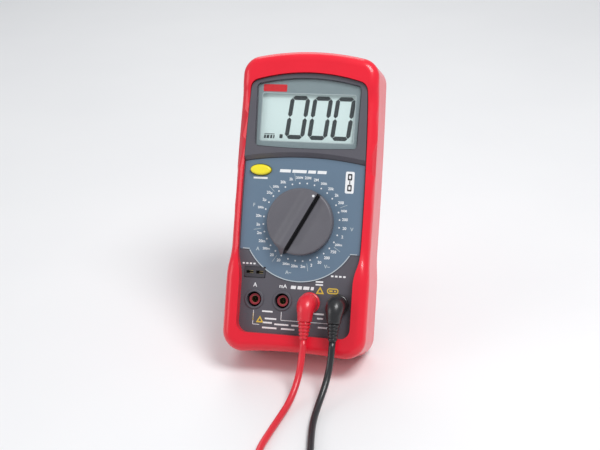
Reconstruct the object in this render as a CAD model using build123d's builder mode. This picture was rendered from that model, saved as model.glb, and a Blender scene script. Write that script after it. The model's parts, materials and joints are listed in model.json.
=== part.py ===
"""Handheld digital multimeter in a rubber holster, propped on its tilt stand, with two test leads.

Everything that belongs to the meter is drawn in the case frame: X across the face, Y up the face, Z out
of the face, with Z = 0 on the holster's back. At the end it is leaned back onto its stand. The leads and
probes that lie on the table are drawn in the table frame: +Z up, the meter facing -Y, and the origin on
the table under the middle of the meter. Lengths are in millimetres.
"""

import math
import os

from build123d import *

os.makedirs("parts", exist_ok=True)

# ---- driving dimensions ---------------------------------------------------
LEAN = 30.0                 # the meter leans this far back from upright
STAND_OPEN = 35.0           # the stand's leg stands off the back by this angle
HOLSTER_HALF = 43.0         # half the holster's width at its grip
HOLSTER_SHOULDER = 173.5    # where the sides end and the crowned top begins
HOLSTER_CROWN = 5.5
BACK_WALL = 3.5
BUMPER_TOP = 36.0           # rim height at the bottom bumper
RIM_TOP = 32.5              # rim height along the sides
HEAD_TOP = 35.0             # rim height at the top bumper
CASE_HALF = 39.4
CASE_BOTTOM = 5.5
CASE_SHOULDER = 165.8
CASE_CROWN = 5.2
SHELL = 2.0                 # case wall
FLOOR = 6.0                 # inside of the rear case
PARTING = 17.0              # where the two case halves meet
FACE = 30.0                 # the front case's flat face
CEILING = FACE - SHELL
SCREEN_TOP = 33.2           # the raised housing round the display
BOARD_LOW = 13.0
BOARD_TOP = 14.6
FIT = 0.25                  # rubber round case, lens in its recess

KNOB = (0.0, 78.0)          # centre of the range knob
KNOB_RADIUS = 19.75
KNOB_TOP = 39.0
POSITIONS = 32              # click stops of the range switch
HUB_RADIUS = 7.7
ROTOR_LOW = 19.0

BUTTON = (-26.5, 107.8)     # centre of the power button
BUTTON_LONG = 12.6
BUTTON_SHORT = 6.3

SOCKET_PITCH = 17.0         # input sockets, side by side
SOCKET_ROW = 31.0
SOCKET_BORE = 2.0           # radius of a 4 mm banana socket
SLEEVE_RADIUS = 2.6
COLLAR_RADIUS = 3.3
WELL_RADIUS = 4.5
WELL_WALL = 1.4
SLEEVE_TOP = 27.5
SOCKETS = [(SOCKET_PITCH * (i - 1.5), SOCKET_ROW) for i in range(4)]
RED_SOCKET = SOCKETS[2]
BLACK_SOCKET = SOCKETS[3]

STAND_HINGE = (110.0, 1.75)     # Y and Z of the hinge line
STAND_LENGTH = 95.386            # hinge line to foot
STAND_HALF = 22.5
STAND_THICK = 2.4

LEAD_RADIUS = 2.0
PLUG_ARM = 42.0             # height of the lead above the holster's back where it leaves the plug
LEAD_EXIT = 10.0            # Y of the end of the plug's strain relief
COIL_MEAN = 22.0            # radius of the middle turn
RED_COIL = (-17.3, -200.0)
BLACK_COIL = (41.3, -195.0)

CASE_SCREWS = [(34.8, 128.0), (-34.8, 128.0), (33.0, 14.6), (-33.0, 14.6)]
BOARD_SCREWS = [(31.0, 57.0), (-31.0, 58.0), (31.0, 100.0), (-31.0, 96.0)]
SOCKET_SLOTS = [(-29.2, 47.0), (-23.2, 47.0)]     # of the component socket
FUSES = [(-14.0, 47.0, 2.5, 20.0), (10.0, 61.0, 2.6, 25.0)]     # X, Y, radius, length
BATTERY = (48.5, 26.5, 16.2)
BATTERY_PLACE = (-1.6, 148.5)

# The case frame stands on the table: leaned back, lifted and centred. The two shifts put the lowest point
# of the holster and stand at Z = 0 and the middle of the meter over the origin.
LIFT = -1.096
CENTRE = -29.615
STANDING = Location((0, CENTRE, LIFT), (90 - LEAN, 0, 0))

finished = {}


def finish(name, builder, standing=True):
    """Label a piece, stand it in place if it belongs to the meter, and write it."""
    piece = STANDING * builder.part if standing else builder.part
    piece.label = name
    finished[name] = piece
    export_step(piece, f"parts/{name}.step")


def case_to_table(x, y, z):
    """A point of the case frame, on the table."""
    tilt = math.radians(90 - LEAN)
    return (
        x,
        y * math.cos(tilt) - z * math.sin(tilt) + CENTRE,
        y * math.sin(tilt) + z * math.cos(tilt) + LIFT,
    )


def meter_outline(
    low, middle, top, bottom, shoulder, crown, low_radius, top_radius, arch=0.0, inset=0.0
):
    """Outline seen from the front: upright grips, an S-bend, bowed flanks, a crowned top.

    A positive arch lifts the middle of the bottom edge, so that the corners stand as feet. An inset
    draws the same outline that much smaller all round.
    """
    crown_radius = (top**2 + crown**2) / (2 * crown)
    crown_centre = shoulder + crown - crown_radius
    crown_radius -= inset
    low, middle, top, bottom = low - inset, middle - inset, top - inset, bottom + inset
    low_radius, top_radius = low_radius - inset, top_radius - inset
    shoulder = crown_centre + math.sqrt(crown_radius**2 - top**2)
    crown = crown_centre + crown_radius - shoulder
    bend_low, bend_high = 42.0, 62.0
    bend = ((low + middle) / 2, (bend_low + bend_high) / 2)
    foot = 0.7 * low
    with BuildLine() as outline:
        ThreePointArc((top, shoulder), (0, shoulder + crown), (-top, shoulder))
        if arch:
            ThreePointArc((-foot, bottom), (0, bottom + arch), (foot, bottom))
        else:
            Line((-foot, bottom), (foot, bottom))
        for side in (1, -1):
            Line((side * foot, bottom), (side * low, bottom))
            Line((side * low, bottom), (side * low, bend_low))
            if low == middle:
                Line((side * low, bend_low), (side * middle, bend_high))
            else:
                lower = TangentArc(
                    (side * low, bend_low), (side * bend[0], bend[1]), tangent=(0, 1)
                )
                TangentArc(lower @ 1, (side * middle, bend_high), tangent=lower % 1)
            bow = (side * (0.35 * middle + 0.65 * max(middle, top)), (bend_high + shoulder) / 2)
            ThreePointArc((side * middle, bend_high), bow, (side * top, shoulder))
    make_face(outline.edges())
    corners = vertices().filter_by(lambda v: abs(v.Y - bottom) < 0.01 and abs(v.X) > foot + 0.01)
    fillet(corners, radius=low_radius)
    fillet(vertices().filter_by(lambda v: abs(v.Y - shoulder) < 0.01), radius=top_radius)


def case_outline(inset=0.0):
    meter_outline(
        CASE_HALF, CASE_HALF, CASE_HALF - 1.8, CASE_BOTTOM, CASE_SHOULDER, CASE_CROWN, 9, 9,
        inset=inset,
    )


def opening_outline(inset=0.0):
    meter_outline(34.0, 36.9, 35.2, 11.4, 160.3, 5.8, 6, 6, inset=inset)


# ---- holster: one moulding of rubber that the case is pressed into ---------
with BuildPart() as holster:
    with BuildSketch():
        meter_outline(
            HOLSTER_HALF, 41.9, 40.8, 0, HOLSTER_SHOULDER, HOLSTER_CROWN, 12, 11.5, arch=1.5
        )
    extrude(amount=BUMPER_TOP)
    # seen from the side, the rim dips between the bottom and top bumpers
    with BuildSketch(Plane.YZ):
        with BuildLine():
            dip_start = ((44 + 66) / 2, (BUMPER_TOP + RIM_TOP) / 2)
            rise_start = ((148 + 164) / 2, (RIM_TOP + HEAD_TOP) / 2)
            Line((44, BUMPER_TOP), (-5, BUMPER_TOP))
            Line((-5, BUMPER_TOP), (-5, -5))
            Line((-5, -5), (190, -5))
            Line((190, -5), (190, HEAD_TOP))
            Line((190, HEAD_TOP), (164, HEAD_TOP))
            dip = TangentArc((44, BUMPER_TOP), dip_start, tangent=(1, 0))
            TangentArc(dip @ 1, (66, RIM_TOP), tangent=dip % 1)
            Line((66, RIM_TOP), (148, RIM_TOP))
            rise = TangentArc((148, RIM_TOP), rise_start, tangent=(1, 0))
            TangentArc(rise @ 1, (164, HEAD_TOP), tangent=rise % 1)
        make_face()
    extrude(amount=60, both=True, mode=Mode.INTERSECT)
    rim = holster.edges().filter_by(
        lambda e: e.center().Z > RIM_TOP - 1
        and not (e.geom_type == GeomType.LINE and abs(e.center().X) < 1)
    )
    fillet(rim, radius=5.5)
    fillet(holster.edges().group_by(Axis.Z)[0], radius=3)
    # room for the case, and the opening that its face shows through
    with BuildSketch(Plane.XY.offset(BACK_WALL)):
        case_outline(-FIT)
    extrude(amount=FACE - BACK_WALL, mode=Mode.SUBTRACT)
    with BuildSketch(Plane.XY.offset(FACE - 1)):
        opening_outline()
    extrude(amount=20, mode=Mode.SUBTRACT)
    # window in the back for the folded stand, with holes for its hinge pins
    with Locations((0, (STAND_HINGE[0] + 14) / 2 + 0.3, BACK_WALL / 2)):
        Box(2 * STAND_HALF + 1, STAND_LENGTH + 4.6, 2 * BACK_WALL, mode=Mode.SUBTRACT)
    with BuildSketch(Plane.YZ.offset(-STAND_HALF - 3.5)):
        with Locations(STAND_HINGE):
            Circle(1.35)
    extrude(amount=2 * STAND_HALF + 7, mode=Mode.SUBTRACT)
finish("holster", holster)

# ---- rear case: open tray with screw towers and the battery opening --------
with BuildPart() as rear_case:
    with BuildSketch(Plane.XY.offset(BACK_WALL)):
        case_outline()
    extrude(amount=PARTING - BACK_WALL)
    fillet(rear_case.edges().group_by(Axis.Z)[0], radius=3)
    with BuildSketch(Plane.XY.offset(FLOOR)):
        case_outline(SHELL)
    extrude(amount=PARTING - FLOOR, mode=Mode.SUBTRACT)
    with BuildSketch(Plane.XY.offset(FLOOR)):
        with Locations(CASE_SCREWS):
            Circle(3.4)
    extrude(amount=PARTING - FLOOR)
    with BuildSketch(Plane.XY.offset(FLOOR)):
        with Locations((0, 130.6)):
            Circle(2.8)
    extrude(amount=6)
    with BuildSketch(Plane.XY.offset(BACK_WALL - 1)):
        with Locations(CASE_SCREWS):
            Circle(1.4)
    extrude(amount=PARTING, mode=Mode.SUBTRACT)
    with BuildSketch(Plane.XY.offset(BACK_WALL - 1)):
        with Locations(CASE_SCREWS):
            Circle(2.9)
    extrude(amount=5, mode=Mode.SUBTRACT)
    # stepped opening for the battery door
    with Locations((0, 146.5, BACK_WALL)):
        Box(54.4, 37.4, 3.0, mode=Mode.SUBTRACT)
    with Locations((0, 148.9, BACK_WALL)):
        Box(50.4, 28.6, 12, mode=Mode.SUBTRACT)
    with Locations((0, 130.6, BACK_WALL)):
        Cylinder(0.95, 15, mode=Mode.SUBTRACT)
finish("rear_case", rear_case)

with BuildPart() as battery_door:
    with BuildSketch(Plane.XY.offset(BACK_WALL + 0.1)):
        with Locations((0, 146.5)):
            RectangleRounded(54.0, 37.0, 1.5)
    extrude(amount=1.4)
    with BuildSketch(Plane.XY.offset(BACK_WALL + 1.5)):
        with Locations((0, 148.9)):
            Rectangle(50.0, 28.2)
    extrude(amount=0.95)
    with BuildSketch(Plane.XY.offset(BACK_WALL)):
        with Locations((0, 130.6)):
            Circle(1.1)
    extrude(amount=5, mode=Mode.SUBTRACT)
    with BuildSketch(Plane.XY.offset(BACK_WALL)):
        with Locations((0, 130.6)):
            Circle(2.1)
    extrude(amount=0.9, mode=Mode.SUBTRACT)
    # finger grooves across the door
    with Locations(*[(0, y, BACK_WALL) for y in (152, 155, 158)]):
        Box(30, 1.2, 1.0, mode=Mode.SUBTRACT)
finish("battery_door", battery_door)

with BuildPart() as battery_door_screw:
    with BuildSketch(Plane.XY.offset(BACK_WALL + 0.15)):
        with Locations((0, 130.6)):
            Circle(1.95)
    extrude(amount=0.75)
    with BuildSketch(Plane.XY.offset(BACK_WALL + 0.9)):
        with Locations((0, 130.6)):
            Circle(0.9)
    extrude(amount=6.2)
    with Locations((0, 130.6, BACK_WALL)):
        Box(2.6, 0.5, 1.0, mode=Mode.SUBTRACT)
        Box(0.5, 2.6, 1.0, mode=Mode.SUBTRACT)
finish("battery_door_screw", battery_door_screw)

# ---- front case: face, raised display housing, socket wells ----------------
with BuildPart() as front_case:
    with BuildSketch(Plane.XY.offset(PARTING)):
        case_outline()
    extrude(amount=FACE - PARTING)
    fillet(front_case.edges().group_by(Axis.Z)[-1], radius=2.5)
    with BuildSketch(Plane.XY.offset(PARTING)):
        case_outline(SHELL)
    extrude(amount=CEILING - PARTING, mode=Mode.SUBTRACT)
    # display housing: as wide as the holster's opening, its lower edge a shallow crescent
    with BuildSketch(Plane.XY.offset(FACE)):
        opening_outline(0.4)
        with BuildSketch(mode=Mode.INTERSECT):
            with BuildLine():
                ThreePointArc((-45, 111.4), (0, 116.5), (45, 111.4))
                Polyline((45, 111.4), (45, 175), (-45, 175), (-45, 111.4))
            make_face()
    extrude(amount=SCREEN_TOP - FACE)
    # the crescent step is a slope, not a wall
    step = front_case.edges().filter_by(
        lambda e: abs(e.center().Z - SCREEN_TOP) < 0.01 and e.center().Y < 118
    )
    chamfer(step, length=2.4)
    with Locations((0, 140.6, (CEILING + 29.2) / 2)):
        Box(66.6, 44.4, 29.2 - CEILING, mode=Mode.SUBTRACT)
    with Locations((0, 139.5, 31)):
        Box(58, 30.2, 6, mode=Mode.SUBTRACT)
    with BuildSketch(Plane.XY.offset(31.2)):
        with BuildLine():
            ThreePointArc((-30.9, 121.8), (0, 120.9), (30.9, 121.8))
            ThreePointArc((31.6, 159.0), (0, 163.0), (-31.6, 159.0))
            Line((30.9, 121.8), (31.6, 159.0))
            Line((-30.9, 121.8), (-31.6, 159.0))
        make_face()
        fillet(vertices(), radius=3)
    extrude(amount=3, mode=Mode.SUBTRACT)
    # wells round the input sockets, with a raised lip on the face
    with BuildSketch(Plane.XY.offset(BOARD_TOP + 0.8)):
        with Locations(SOCKETS):
            Circle(WELL_RADIUS + WELL_WALL)
    extrude(amount=FACE + 0.7 - BOARD_TOP - 0.8)
    lips = front_case.edges().filter_by(
        lambda e: abs(e.center().Z - FACE - 0.7) < 0.01 and e.center().Y < 45
    )
    chamfer(lips, length=0.4)
    with BuildSketch(Plane.XY.offset(BOARD_TOP)):
        with Locations(SOCKETS):
            Circle(WELL_RADIUS)
    extrude(amount=20, mode=Mode.SUBTRACT)
    # screw towers
    with BuildSketch(Plane.XY.offset(PARTING)):
        with Locations(CASE_SCREWS):
            Circle(3.3)
    extrude(amount=CEILING - PARTING)
    with BuildSketch(Plane.XY.offset(BOARD_TOP)):
        with Locations(BOARD_SCREWS):
            Circle(3.2)
    extrude(amount=CEILING - BOARD_TOP)
    with BuildSketch(Plane.XY.offset(BOARD_TOP)):
        with Locations(CASE_SCREWS):
            Circle(1.25)
        with Locations(BOARD_SCREWS):
            Circle(1.05)
    extrude(amount=11, mode=Mode.SUBTRACT)
    # click ring of the range switch: a notch for each position
    with BuildSketch(Plane.XY.offset(PARTING)):
        with Locations(KNOB):
            Circle(21.0)
            with PolarLocations(19.0, POSITIONS):
                Circle(1.0, mode=Mode.SUBTRACT)
            Circle(19.0, mode=Mode.SUBTRACT)
    extrude(amount=CEILING - PARTING)
    # holes for the knob, the power button and the component socket
    with BuildSketch(Plane.XY.offset(CEILING - 1)):
        with Locations(KNOB):
            Circle(HUB_RADIUS + 0.3)
        with Locations(BUTTON):
            Ellipse(BUTTON_LONG / 2 + 0.3, BUTTON_SHORT / 2 + 0.3)
        with Locations((-26.2, 47)):
            Rectangle(12.9, 6.4)
    extrude(amount=6, mode=Mode.SUBTRACT)
finish("front_case", front_case)

# ---- printed panel round the knob ------------------------------------------
with BuildPart() as dial_overlay:
    with BuildSketch(Plane.XY.offset(FACE)):
        opening_outline(0.8)
        with BuildSketch(mode=Mode.INTERSECT):
            with BuildLine():
                ThreePointArc((-45, 110.9), (0, 116.0), (45, 110.9))
                Polyline((45, 110.9), (45, 60.4), (30.8, 60.4))
                ThreePointArc((30.8, 60.4), (0, 42.5), (-30.8, 60.4))
                Polyline((-30.8, 60.4), (-45, 60.4), (-45, 110.9))
            make_face()
        with Locations(KNOB):
            Circle(HUB_RADIUS + 0.4, mode=Mode.SUBTRACT)
        with Locations(BUTTON):
            Ellipse(BUTTON_LONG / 2 + 0.45, BUTTON_SHORT / 2 + 0.45, mode=Mode.SUBTRACT)
        with Locations((-26.2, 47)):
            Rectangle(13.1, 6.6, mode=Mode.SUBTRACT)
    extrude(amount=0.4)
finish("dial_overlay", dial_overlay)

# ---- display ----------------------------------------------------------------
with BuildPart() as lcd_window:
    with BuildSketch(Plane.XY.offset(31.2)):
        with BuildLine():
            ThreePointArc((-30.7, 122.0), (0, 121.1), (30.7, 122.0))
            ThreePointArc((31.4, 158.8), (0, 162.8), (-31.4, 158.8))
            Line((30.7, 122.0), (31.4, 158.8))
            Line((-30.7, 122.0), (-31.4, 158.8))
        make_face()
        fillet(vertices(), radius=2.9)
    extrude(amount=1.8)
    fillet(lcd_window.edges().group_by(Axis.Z)[-1], radius=0.5)
finish("lcd_window", lcd_window)

with BuildPart() as lcd_glass:
    with BuildSketch(Plane.XY.offset(26.4)):
        with Locations((0, 139.5)):
            Rectangle(60, 37)
    extrude(amount=2.8)
finish("lcd_glass", lcd_glass)

with BuildPart() as lcd_frame:
    with BuildSketch(Plane.XY.offset(24.0)):
        with Locations((0, 139.5)):
            Rectangle(62.6, 41)
            Rectangle(60.4, 37.4, mode=Mode.SUBTRACT)
    extrude(amount=5.1)
finish("lcd_frame", lcd_frame)

with BuildPart() as zebra_strips:
    with Locations((0, 122.8, 25.2), (0, 156.2, 25.2)):
        Box(54, 2.4, 2.4)
finish("zebra_strips", zebra_strips)

with BuildPart() as display_board:
    with BuildSketch(Plane.XY.offset(22.8)):
        with Locations((0, 136.8)):
            Rectangle(62, 46.4)
        with Locations((33, 128), (-33, 128)):
            Circle(5.6, mode=Mode.SUBTRACT)
    extrude(amount=1.2)
finish("display_board", display_board)

# ---- main board and what is soldered to it -----------------------------------
with BuildPart() as main_board:
    with BuildSketch(Plane.XY.offset(BOARD_LOW)):
        with Locations((0, 69)):
            Rectangle(73, 98)
        with Locations(BOARD_SCREWS):
            Circle(1.2, mode=Mode.SUBTRACT)
        with Locations(KNOB):
            Circle(3.2, mode=Mode.SUBTRACT)
    extrude(amount=BOARD_TOP - BOARD_LOW)
finish("main_board", main_board)

with BuildPart() as board_connector:
    with BuildSketch(Plane.XY.offset(BOARD_TOP)):
        with Locations((2, 115.6)):
            Rectangle(30, 2.5)
    extrude(amount=22.8 - BOARD_TOP)
finish("board_connector", board_connector)

with BuildPart() as converter_chip:
    with BuildSketch(Plane.XY.offset(BOARD_TOP + 0.4)):
        with Locations((4, 107)):
            Rectangle(26, 8)
    extrude(amount=3)
    pin_row = [(4 + 2.54 * (i - 4.5), 107 + side * 4.4) for i in range(10) for side in (1, -1)]
    with BuildSketch(Plane.XY.offset(BOARD_TOP)):
        with Locations(pin_row):
            Rectangle(0.6, 0.9)
    extrude(amount=2)
finish("converter_chip", converter_chip)

with BuildPart() as capacitors:
    for x, y, radius, height in ((29, 84, 2.5, 9), (29, 76, 2, 7), (-29.5, 84, 3, 8), (27, 42, 2.5, 8)):
        with BuildSketch(Plane.XY.offset(BOARD_TOP)):
            with Locations((x, y)):
                Circle(radius)
        extrude(amount=height)
        fillet(capacitors.edges(Select.LAST).group_by(Axis.Z)[-1], radius=0.4)
finish("capacitors", capacitors)

with BuildPart() as resistors:
    for x, y in ((-12, 48), (-12, 52), (0, 46), (0, 50), (12, 46), (12, 50), (22, 48), (22, 52)):
        with BuildSketch(Plane.YZ.offset(x - 3.2)):
            with Locations((y, BOARD_TOP + 1.2)):
                Circle(1.15)
        extrude(amount=6.4)
finish("resistors", resistors)

with BuildPart() as power_switch:
    with BuildSketch(Plane.XY.offset(BOARD_TOP)):
        with Locations(BUTTON):
            Rectangle(8.5, 8.5)
    extrude(amount=7.4)
    with BuildSketch(Plane.XY.offset(BOARD_TOP + 2)):
        with Locations(BUTTON):
            Rectangle(3.6, 3.6)
    extrude(amount=10, mode=Mode.SUBTRACT)
finish("power_switch", power_switch)

with BuildPart() as component_socket:
    with BuildSketch(Plane.XY.offset(BOARD_TOP + 4)):
        with Locations((-26.2, 47)):
            RectangleRounded(12.5, 6.0, 0.8)
    extrude(amount=FACE + 0.5 - BOARD_TOP - 4)
    with BuildSketch(Plane.XY.offset(BOARD_TOP)):
        with Locations(SOCKET_SLOTS):
            Rectangle(4.4, 1.8)
    extrude(amount=20, mode=Mode.SUBTRACT)
finish("component_socket", component_socket)

with BuildPart() as socket_contacts:
    for x, y in SOCKET_SLOTS:
        with BuildSketch(Plane.XY.offset(BOARD_TOP)):
            with Locations((x, y + 0.6), (x, y - 0.6)):
                Rectangle(3.6, 0.35)
        extrude(amount=11.4)
        with BuildSketch(Plane.XY.offset(BOARD_TOP)):
            with Locations((x, y)):
                Rectangle(3.6, 1.4)
        extrude(amount=0.4)
finish("socket_contacts", socket_contacts)

with BuildPart() as fuses:
    for x, y, radius, length in FUSES:
        with BuildSketch(Plane.YZ.offset(x - length / 2)):
            with Locations((y, BOARD_LOW - 0.8 - radius)):
                Circle(radius)
        extrude(amount=length)
finish("fuses", fuses)

with BuildPart() as fuse_clips:
    for x, y, radius, length in FUSES:
        height = BOARD_LOW - 0.8 - radius
        for end in (-1, 1):
            with BuildSketch(Plane.YZ.offset(x + end * (length / 2 - 2.6) - 2.0)):
                with Locations((y, height)):
                    Circle(radius + 0.65)
                with Locations((y, BOARD_LOW - 0.5)):
                    Rectangle(2.4, 1.0)
                with Locations((y, height)):
                    Circle(radius + 0.05, mode=Mode.SUBTRACT)
                with Locations((y, height - radius)):
                    Rectangle(2 * radius - 0.6, 3.0, mode=Mode.SUBTRACT)
            extrude(amount=4.0)
finish("fuse_clips", fuse_clips)

with BuildPart() as shunt_wire:
    with BuildLine(Plane.XZ.offset(-24)):
        shunt_path = FilletPolyline(
            (-14, BOARD_LOW), (-14, 8.2), (12, 8.2), (12, BOARD_LOW), radius=3
        )
    with BuildSketch(Plane(origin=(-14, 24, BOARD_LOW), z_dir=(0, 0, -1))):
        Circle(0.8)
    sweep(path=shunt_path)
finish("shunt_wire", shunt_wire)

with BuildPart() as buzzer:
    with Locations((0, 94, FLOOR + 1.7)):
        Cylinder(13.5, 3.4)
    with Locations((0, 94, FLOOR + 3.0)):
        Cylinder(2.0, 3.0, mode=Mode.SUBTRACT)
finish("buzzer", buzzer)

with BuildPart() as shield_plate:
    with BuildSketch(Plane.XY.offset(FLOOR)):
        with Locations((0, 50)):
            RectangleRounded(66, 54, 3)
    extrude(amount=0.3)
finish("shield_plate", shield_plate)

with BuildPart() as case_screws:
    with BuildSketch(Plane.XY.offset(5.9)):
        with Locations(CASE_SCREWS):
            Circle(2.7)
    extrude(amount=1.6)
    with BuildSketch(Plane.XY.offset(7.5)):
        with Locations(CASE_SCREWS):
            Circle(1.2)
    extrude(amount=16.5)
    for x, y in CASE_SCREWS:
        with Locations((x, y, 5.9)):
            Box(3.2, 0.6, 1.6, mode=Mode.SUBTRACT)
            Box(0.6, 3.2, 1.6, mode=Mode.SUBTRACT)
finish("case_screws", case_screws)

with BuildPart() as board_screws:
    with BuildSketch(Plane.XY.offset(BOARD_LOW - 1.4)):
        with Locations(BOARD_SCREWS):
            Circle(2.1)
    extrude(amount=1.4)
    with BuildSketch(Plane.XY.offset(BOARD_LOW)):
        with Locations(BOARD_SCREWS):
            Circle(1.0)
    extrude(amount=9)
finish("board_screws", board_screws)

# ---- battery ------------------------------------------------------------------
with BuildPart() as battery:
    with BuildSketch(Plane.XY.offset(FLOOR)):
        with Locations(BATTERY_PLACE):
            RectangleRounded(BATTERY[0] - 2.4, BATTERY[1], 2)
    extrude(amount=BATTERY[2])
    end_x = BATTERY_PLACE[0] + BATTERY[0] / 2 - 1.2
    with BuildSketch(Plane.YZ.offset(end_x)):
        with Locations((BATTERY_PLACE[1] - 6.35, 14.1), (BATTERY_PLACE[1] + 6.35, 14.1)):
            Circle(2.8)
    extrude(amount=2.2)
finish("battery", battery)

with BuildPart() as battery_snap:
    with Locations((end_x + 3.6, BATTERY_PLACE[1], 14.1)):
        Box(2.6, 24.5, 12.5)
    fillet(battery_snap.edges().filter_by(Axis.X), radius=3)
finish("battery_snap", battery_snap)

with BuildPart() as battery_leads:
    for start_y, run_x in ((137.5, 29.75), (135.1, 27.95)):
        start = (end_x + 4.9, start_y, 11.0)
        with BuildLine():
            wire = FilletPolyline(
                start,
                (run_x, start_y, 11.0),
                (run_x, 126.0, 10.5),
                (run_x, 111.0, 9.0),
                (run_x, 111.0, BOARD_LOW),
                radius=1.4,
            )
        with BuildSketch(Plane(origin=start, z_dir=wire % 0)):
            Circle(0.65)
        sweep(path=wire)
finish("battery_leads", battery_leads)

# ---- input sockets ----------------------------------------------------------------
with BuildPart() as input_sockets:
    with BuildSketch(Plane.XY.offset(BOARD_TOP)):
        with Locations(SOCKETS):
            Circle(SLEEVE_RADIUS)
            Circle(SOCKET_BORE, mode=Mode.SUBTRACT)
    extrude(amount=SLEEVE_TOP - BOARD_TOP)
finish("input_sockets", input_sockets)

for name, places in (("red_socket_collars", SOCKETS[:3]), ("black_socket_collar", SOCKETS[3:])):
    with BuildPart() as collars:
        with BuildSketch(Plane.XY.offset(BOARD_TOP)):
            with Locations(places):
                Circle(COLLAR_RADIUS)
                Circle(SLEEVE_RADIUS + 0.02, mode=Mode.SUBTRACT)
        extrude(amount=28.6 - BOARD_TOP)
        with BuildSketch(Plane.XY.offset(SLEEVE_TOP)):
            with Locations(places):
                Circle(SLEEVE_RADIUS + 0.1)
                Circle(SOCKET_BORE + 0.15, mode=Mode.SUBTRACT)
        extrude(amount=28.6 - SLEEVE_TOP)
    finish(name, collars)

# ---- power button -------------------------------------------------------------------
with BuildPart() as power_button:
    with BuildSketch(Plane.XY.offset(26.0)):
        with Locations(BUTTON):
            Ellipse(BUTTON_LONG / 2, BUTTON_SHORT / 2)
    extrude(amount=6.4)
    fillet(power_button.edges().group_by(Axis.Z)[-1], radius=1.2)
    with BuildSketch(Plane.XY.offset(26.2)):
        with Locations(BUTTON):
            Ellipse(BUTTON_LONG / 2 + 1.2, BUTTON_SHORT / 2 + 1.2)
    extrude(amount=1.5)
    with BuildSketch(Plane.XY.offset(26.0)):
        with Locations(BUTTON):
            Rectangle(3.24, 3.24)
    extrude(amount=2.5, mode=Mode.SUBTRACT)
finish("power_button", power_button)

with BuildPart() as switch_plunger:
    with BuildSketch(Plane.XY.offset(19.4)):
        with Locations(BUTTON):
            Rectangle(3.2, 3.2)
    extrude(amount=28.4 - 19.4)
finish("switch_plunger", switch_plunger)

with BuildPart() as switch_spring:
    with BuildLine():
        spring_wire = Helix(pitch=1.15, height=3.45, radius=2.75, center=(*BUTTON, 22.25))
    with BuildSketch(Plane(origin=spring_wire @ 0, z_dir=spring_wire % 0)):
        Circle(0.22)
    sweep(path=spring_wire, is_frenet=True)
finish("switch_spring", switch_spring)

# ---- range knob and switch rotor -------------------------------------------------------
POINTER = -118.0            # the pointer aims down and to the left, degrees from +X
with BuildPart() as range_knob:
    with BuildSketch(Plane.XY.offset(FACE + 1.0)):
        with Locations(KNOB):
            Circle(KNOB_RADIUS)
    extrude(amount=5.4)
    fillet(range_knob.edges().group_by(Axis.Z)[-1], radius=1.2)
    # grip: a ridge across the knob that ends in a pointer
    aim = Vector(1, 0, 0).rotate(Axis.Z, POINTER)
    with BuildSketch(Plane(origin=(*KNOB, FACE + 1.0), x_dir=aim, z_dir=(0, 0, 1))):
        with BuildLine():
            Polyline((-19.2, 2.6), (17.5, 2.6), (22.6, 0), (17.5, -2.6), (-19.2, -2.6), close=True)
        make_face()
    extrude(amount=KNOB_TOP - FACE - 1.0)
    ridge = range_knob.edges().group_by(Axis.Z)[-1]
    chamfer(ridge, length=0.8)
    with BuildSketch(Plane.XY.offset(24.0)):
        with Locations(KNOB):
            Circle(HUB_RADIUS)
    extrude(amount=FACE + 1.2 - 24.0)
    with BuildSketch(Plane.XY.offset(ROTOR_LOW)):
        with Locations(KNOB):
            Rectangle(7, 7)
    extrude(amount=5.2)
finish("range_knob", range_knob)

with BuildPart() as switch_rotor:
    with BuildSketch(Plane.XY.offset(ROTOR_LOW)):
        with Locations(KNOB):
            Circle(17.6)
    extrude(amount=4.0)
    with BuildSketch(Plane.XY.offset(ROTOR_LOW)):
        with Locations(KNOB):
            Circle(10.2)
            Circle(HUB_RADIUS + 0.05, mode=Mode.SUBTRACT)
    extrude(amount=CEILING - 0.3 - ROTOR_LOW)
    with BuildSketch(Plane.XY.offset(ROTOR_LOW)):
        with Locations(KNOB):
            Rectangle(7.1, 7.1)
    extrude(amount=5, mode=Mode.SUBTRACT)
    with BuildSketch(Plane.XY.offset(24.0)):
        with Locations(KNOB):
            Circle(HUB_RADIUS + 0.05)
    extrude(amount=6, mode=Mode.SUBTRACT)
    # pockets for the click balls and their springs
    for angle in (0, 180):
        with BuildSketch(Plane(origin=(*KNOB, ROTOR_LOW + 2.0), z_dir=Vector(1, 0, 0).rotate(Axis.Z, angle))):
            Circle(1.25)
        extrude(amount=20, mode=Mode.SUBTRACT)
finish("switch_rotor", switch_rotor)

with BuildPart() as wiper_contacts:
    for angle in (30, 150, 270):
        with BuildSketch(Plane.XY.offset(BOARD_TOP + 0.25)):
            with Locations(Location((*KNOB, 0), (0, 0, angle))):
                with Locations((8.5, 0), (12.5, 0), (16.0, 0)):
                    Rectangle(1.6, 2.6)
        extrude(amount=ROTOR_LOW - BOARD_TOP - 0.25)
        with BuildSketch(Plane.XY.offset(ROTOR_LOW - 0.5)):
            with Locations(Location((*KNOB, 0), (0, 0, angle))):
                with Locations((12.2, 0)):
                    Rectangle(9.2, 2.6)
        extrude(amount=0.5)
finish("wiper_contacts", wiper_contacts)

with BuildPart() as click_balls:
    with Locations(KNOB + (ROTOR_LOW + 2.0,)):
        with PolarLocations(17.3, 2):
            Sphere(1.2)
finish("click_balls", click_balls)

with BuildPart() as click_springs:
    for side in (1, -1):
        with BuildLine():
            click_wire = Helix(
                pitch=0.9, height=4.4, radius=0.85,
                center=(side * 11.6, KNOB[1], ROTOR_LOW + 2.0), direction=(side, 0, 0),
            )
        with BuildSketch(Plane(origin=click_wire @ 0, z_dir=click_wire % 0)):
            Circle(0.16)
        sweep(path=click_wire, is_frenet=True)
finish("click_springs", click_springs)

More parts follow.
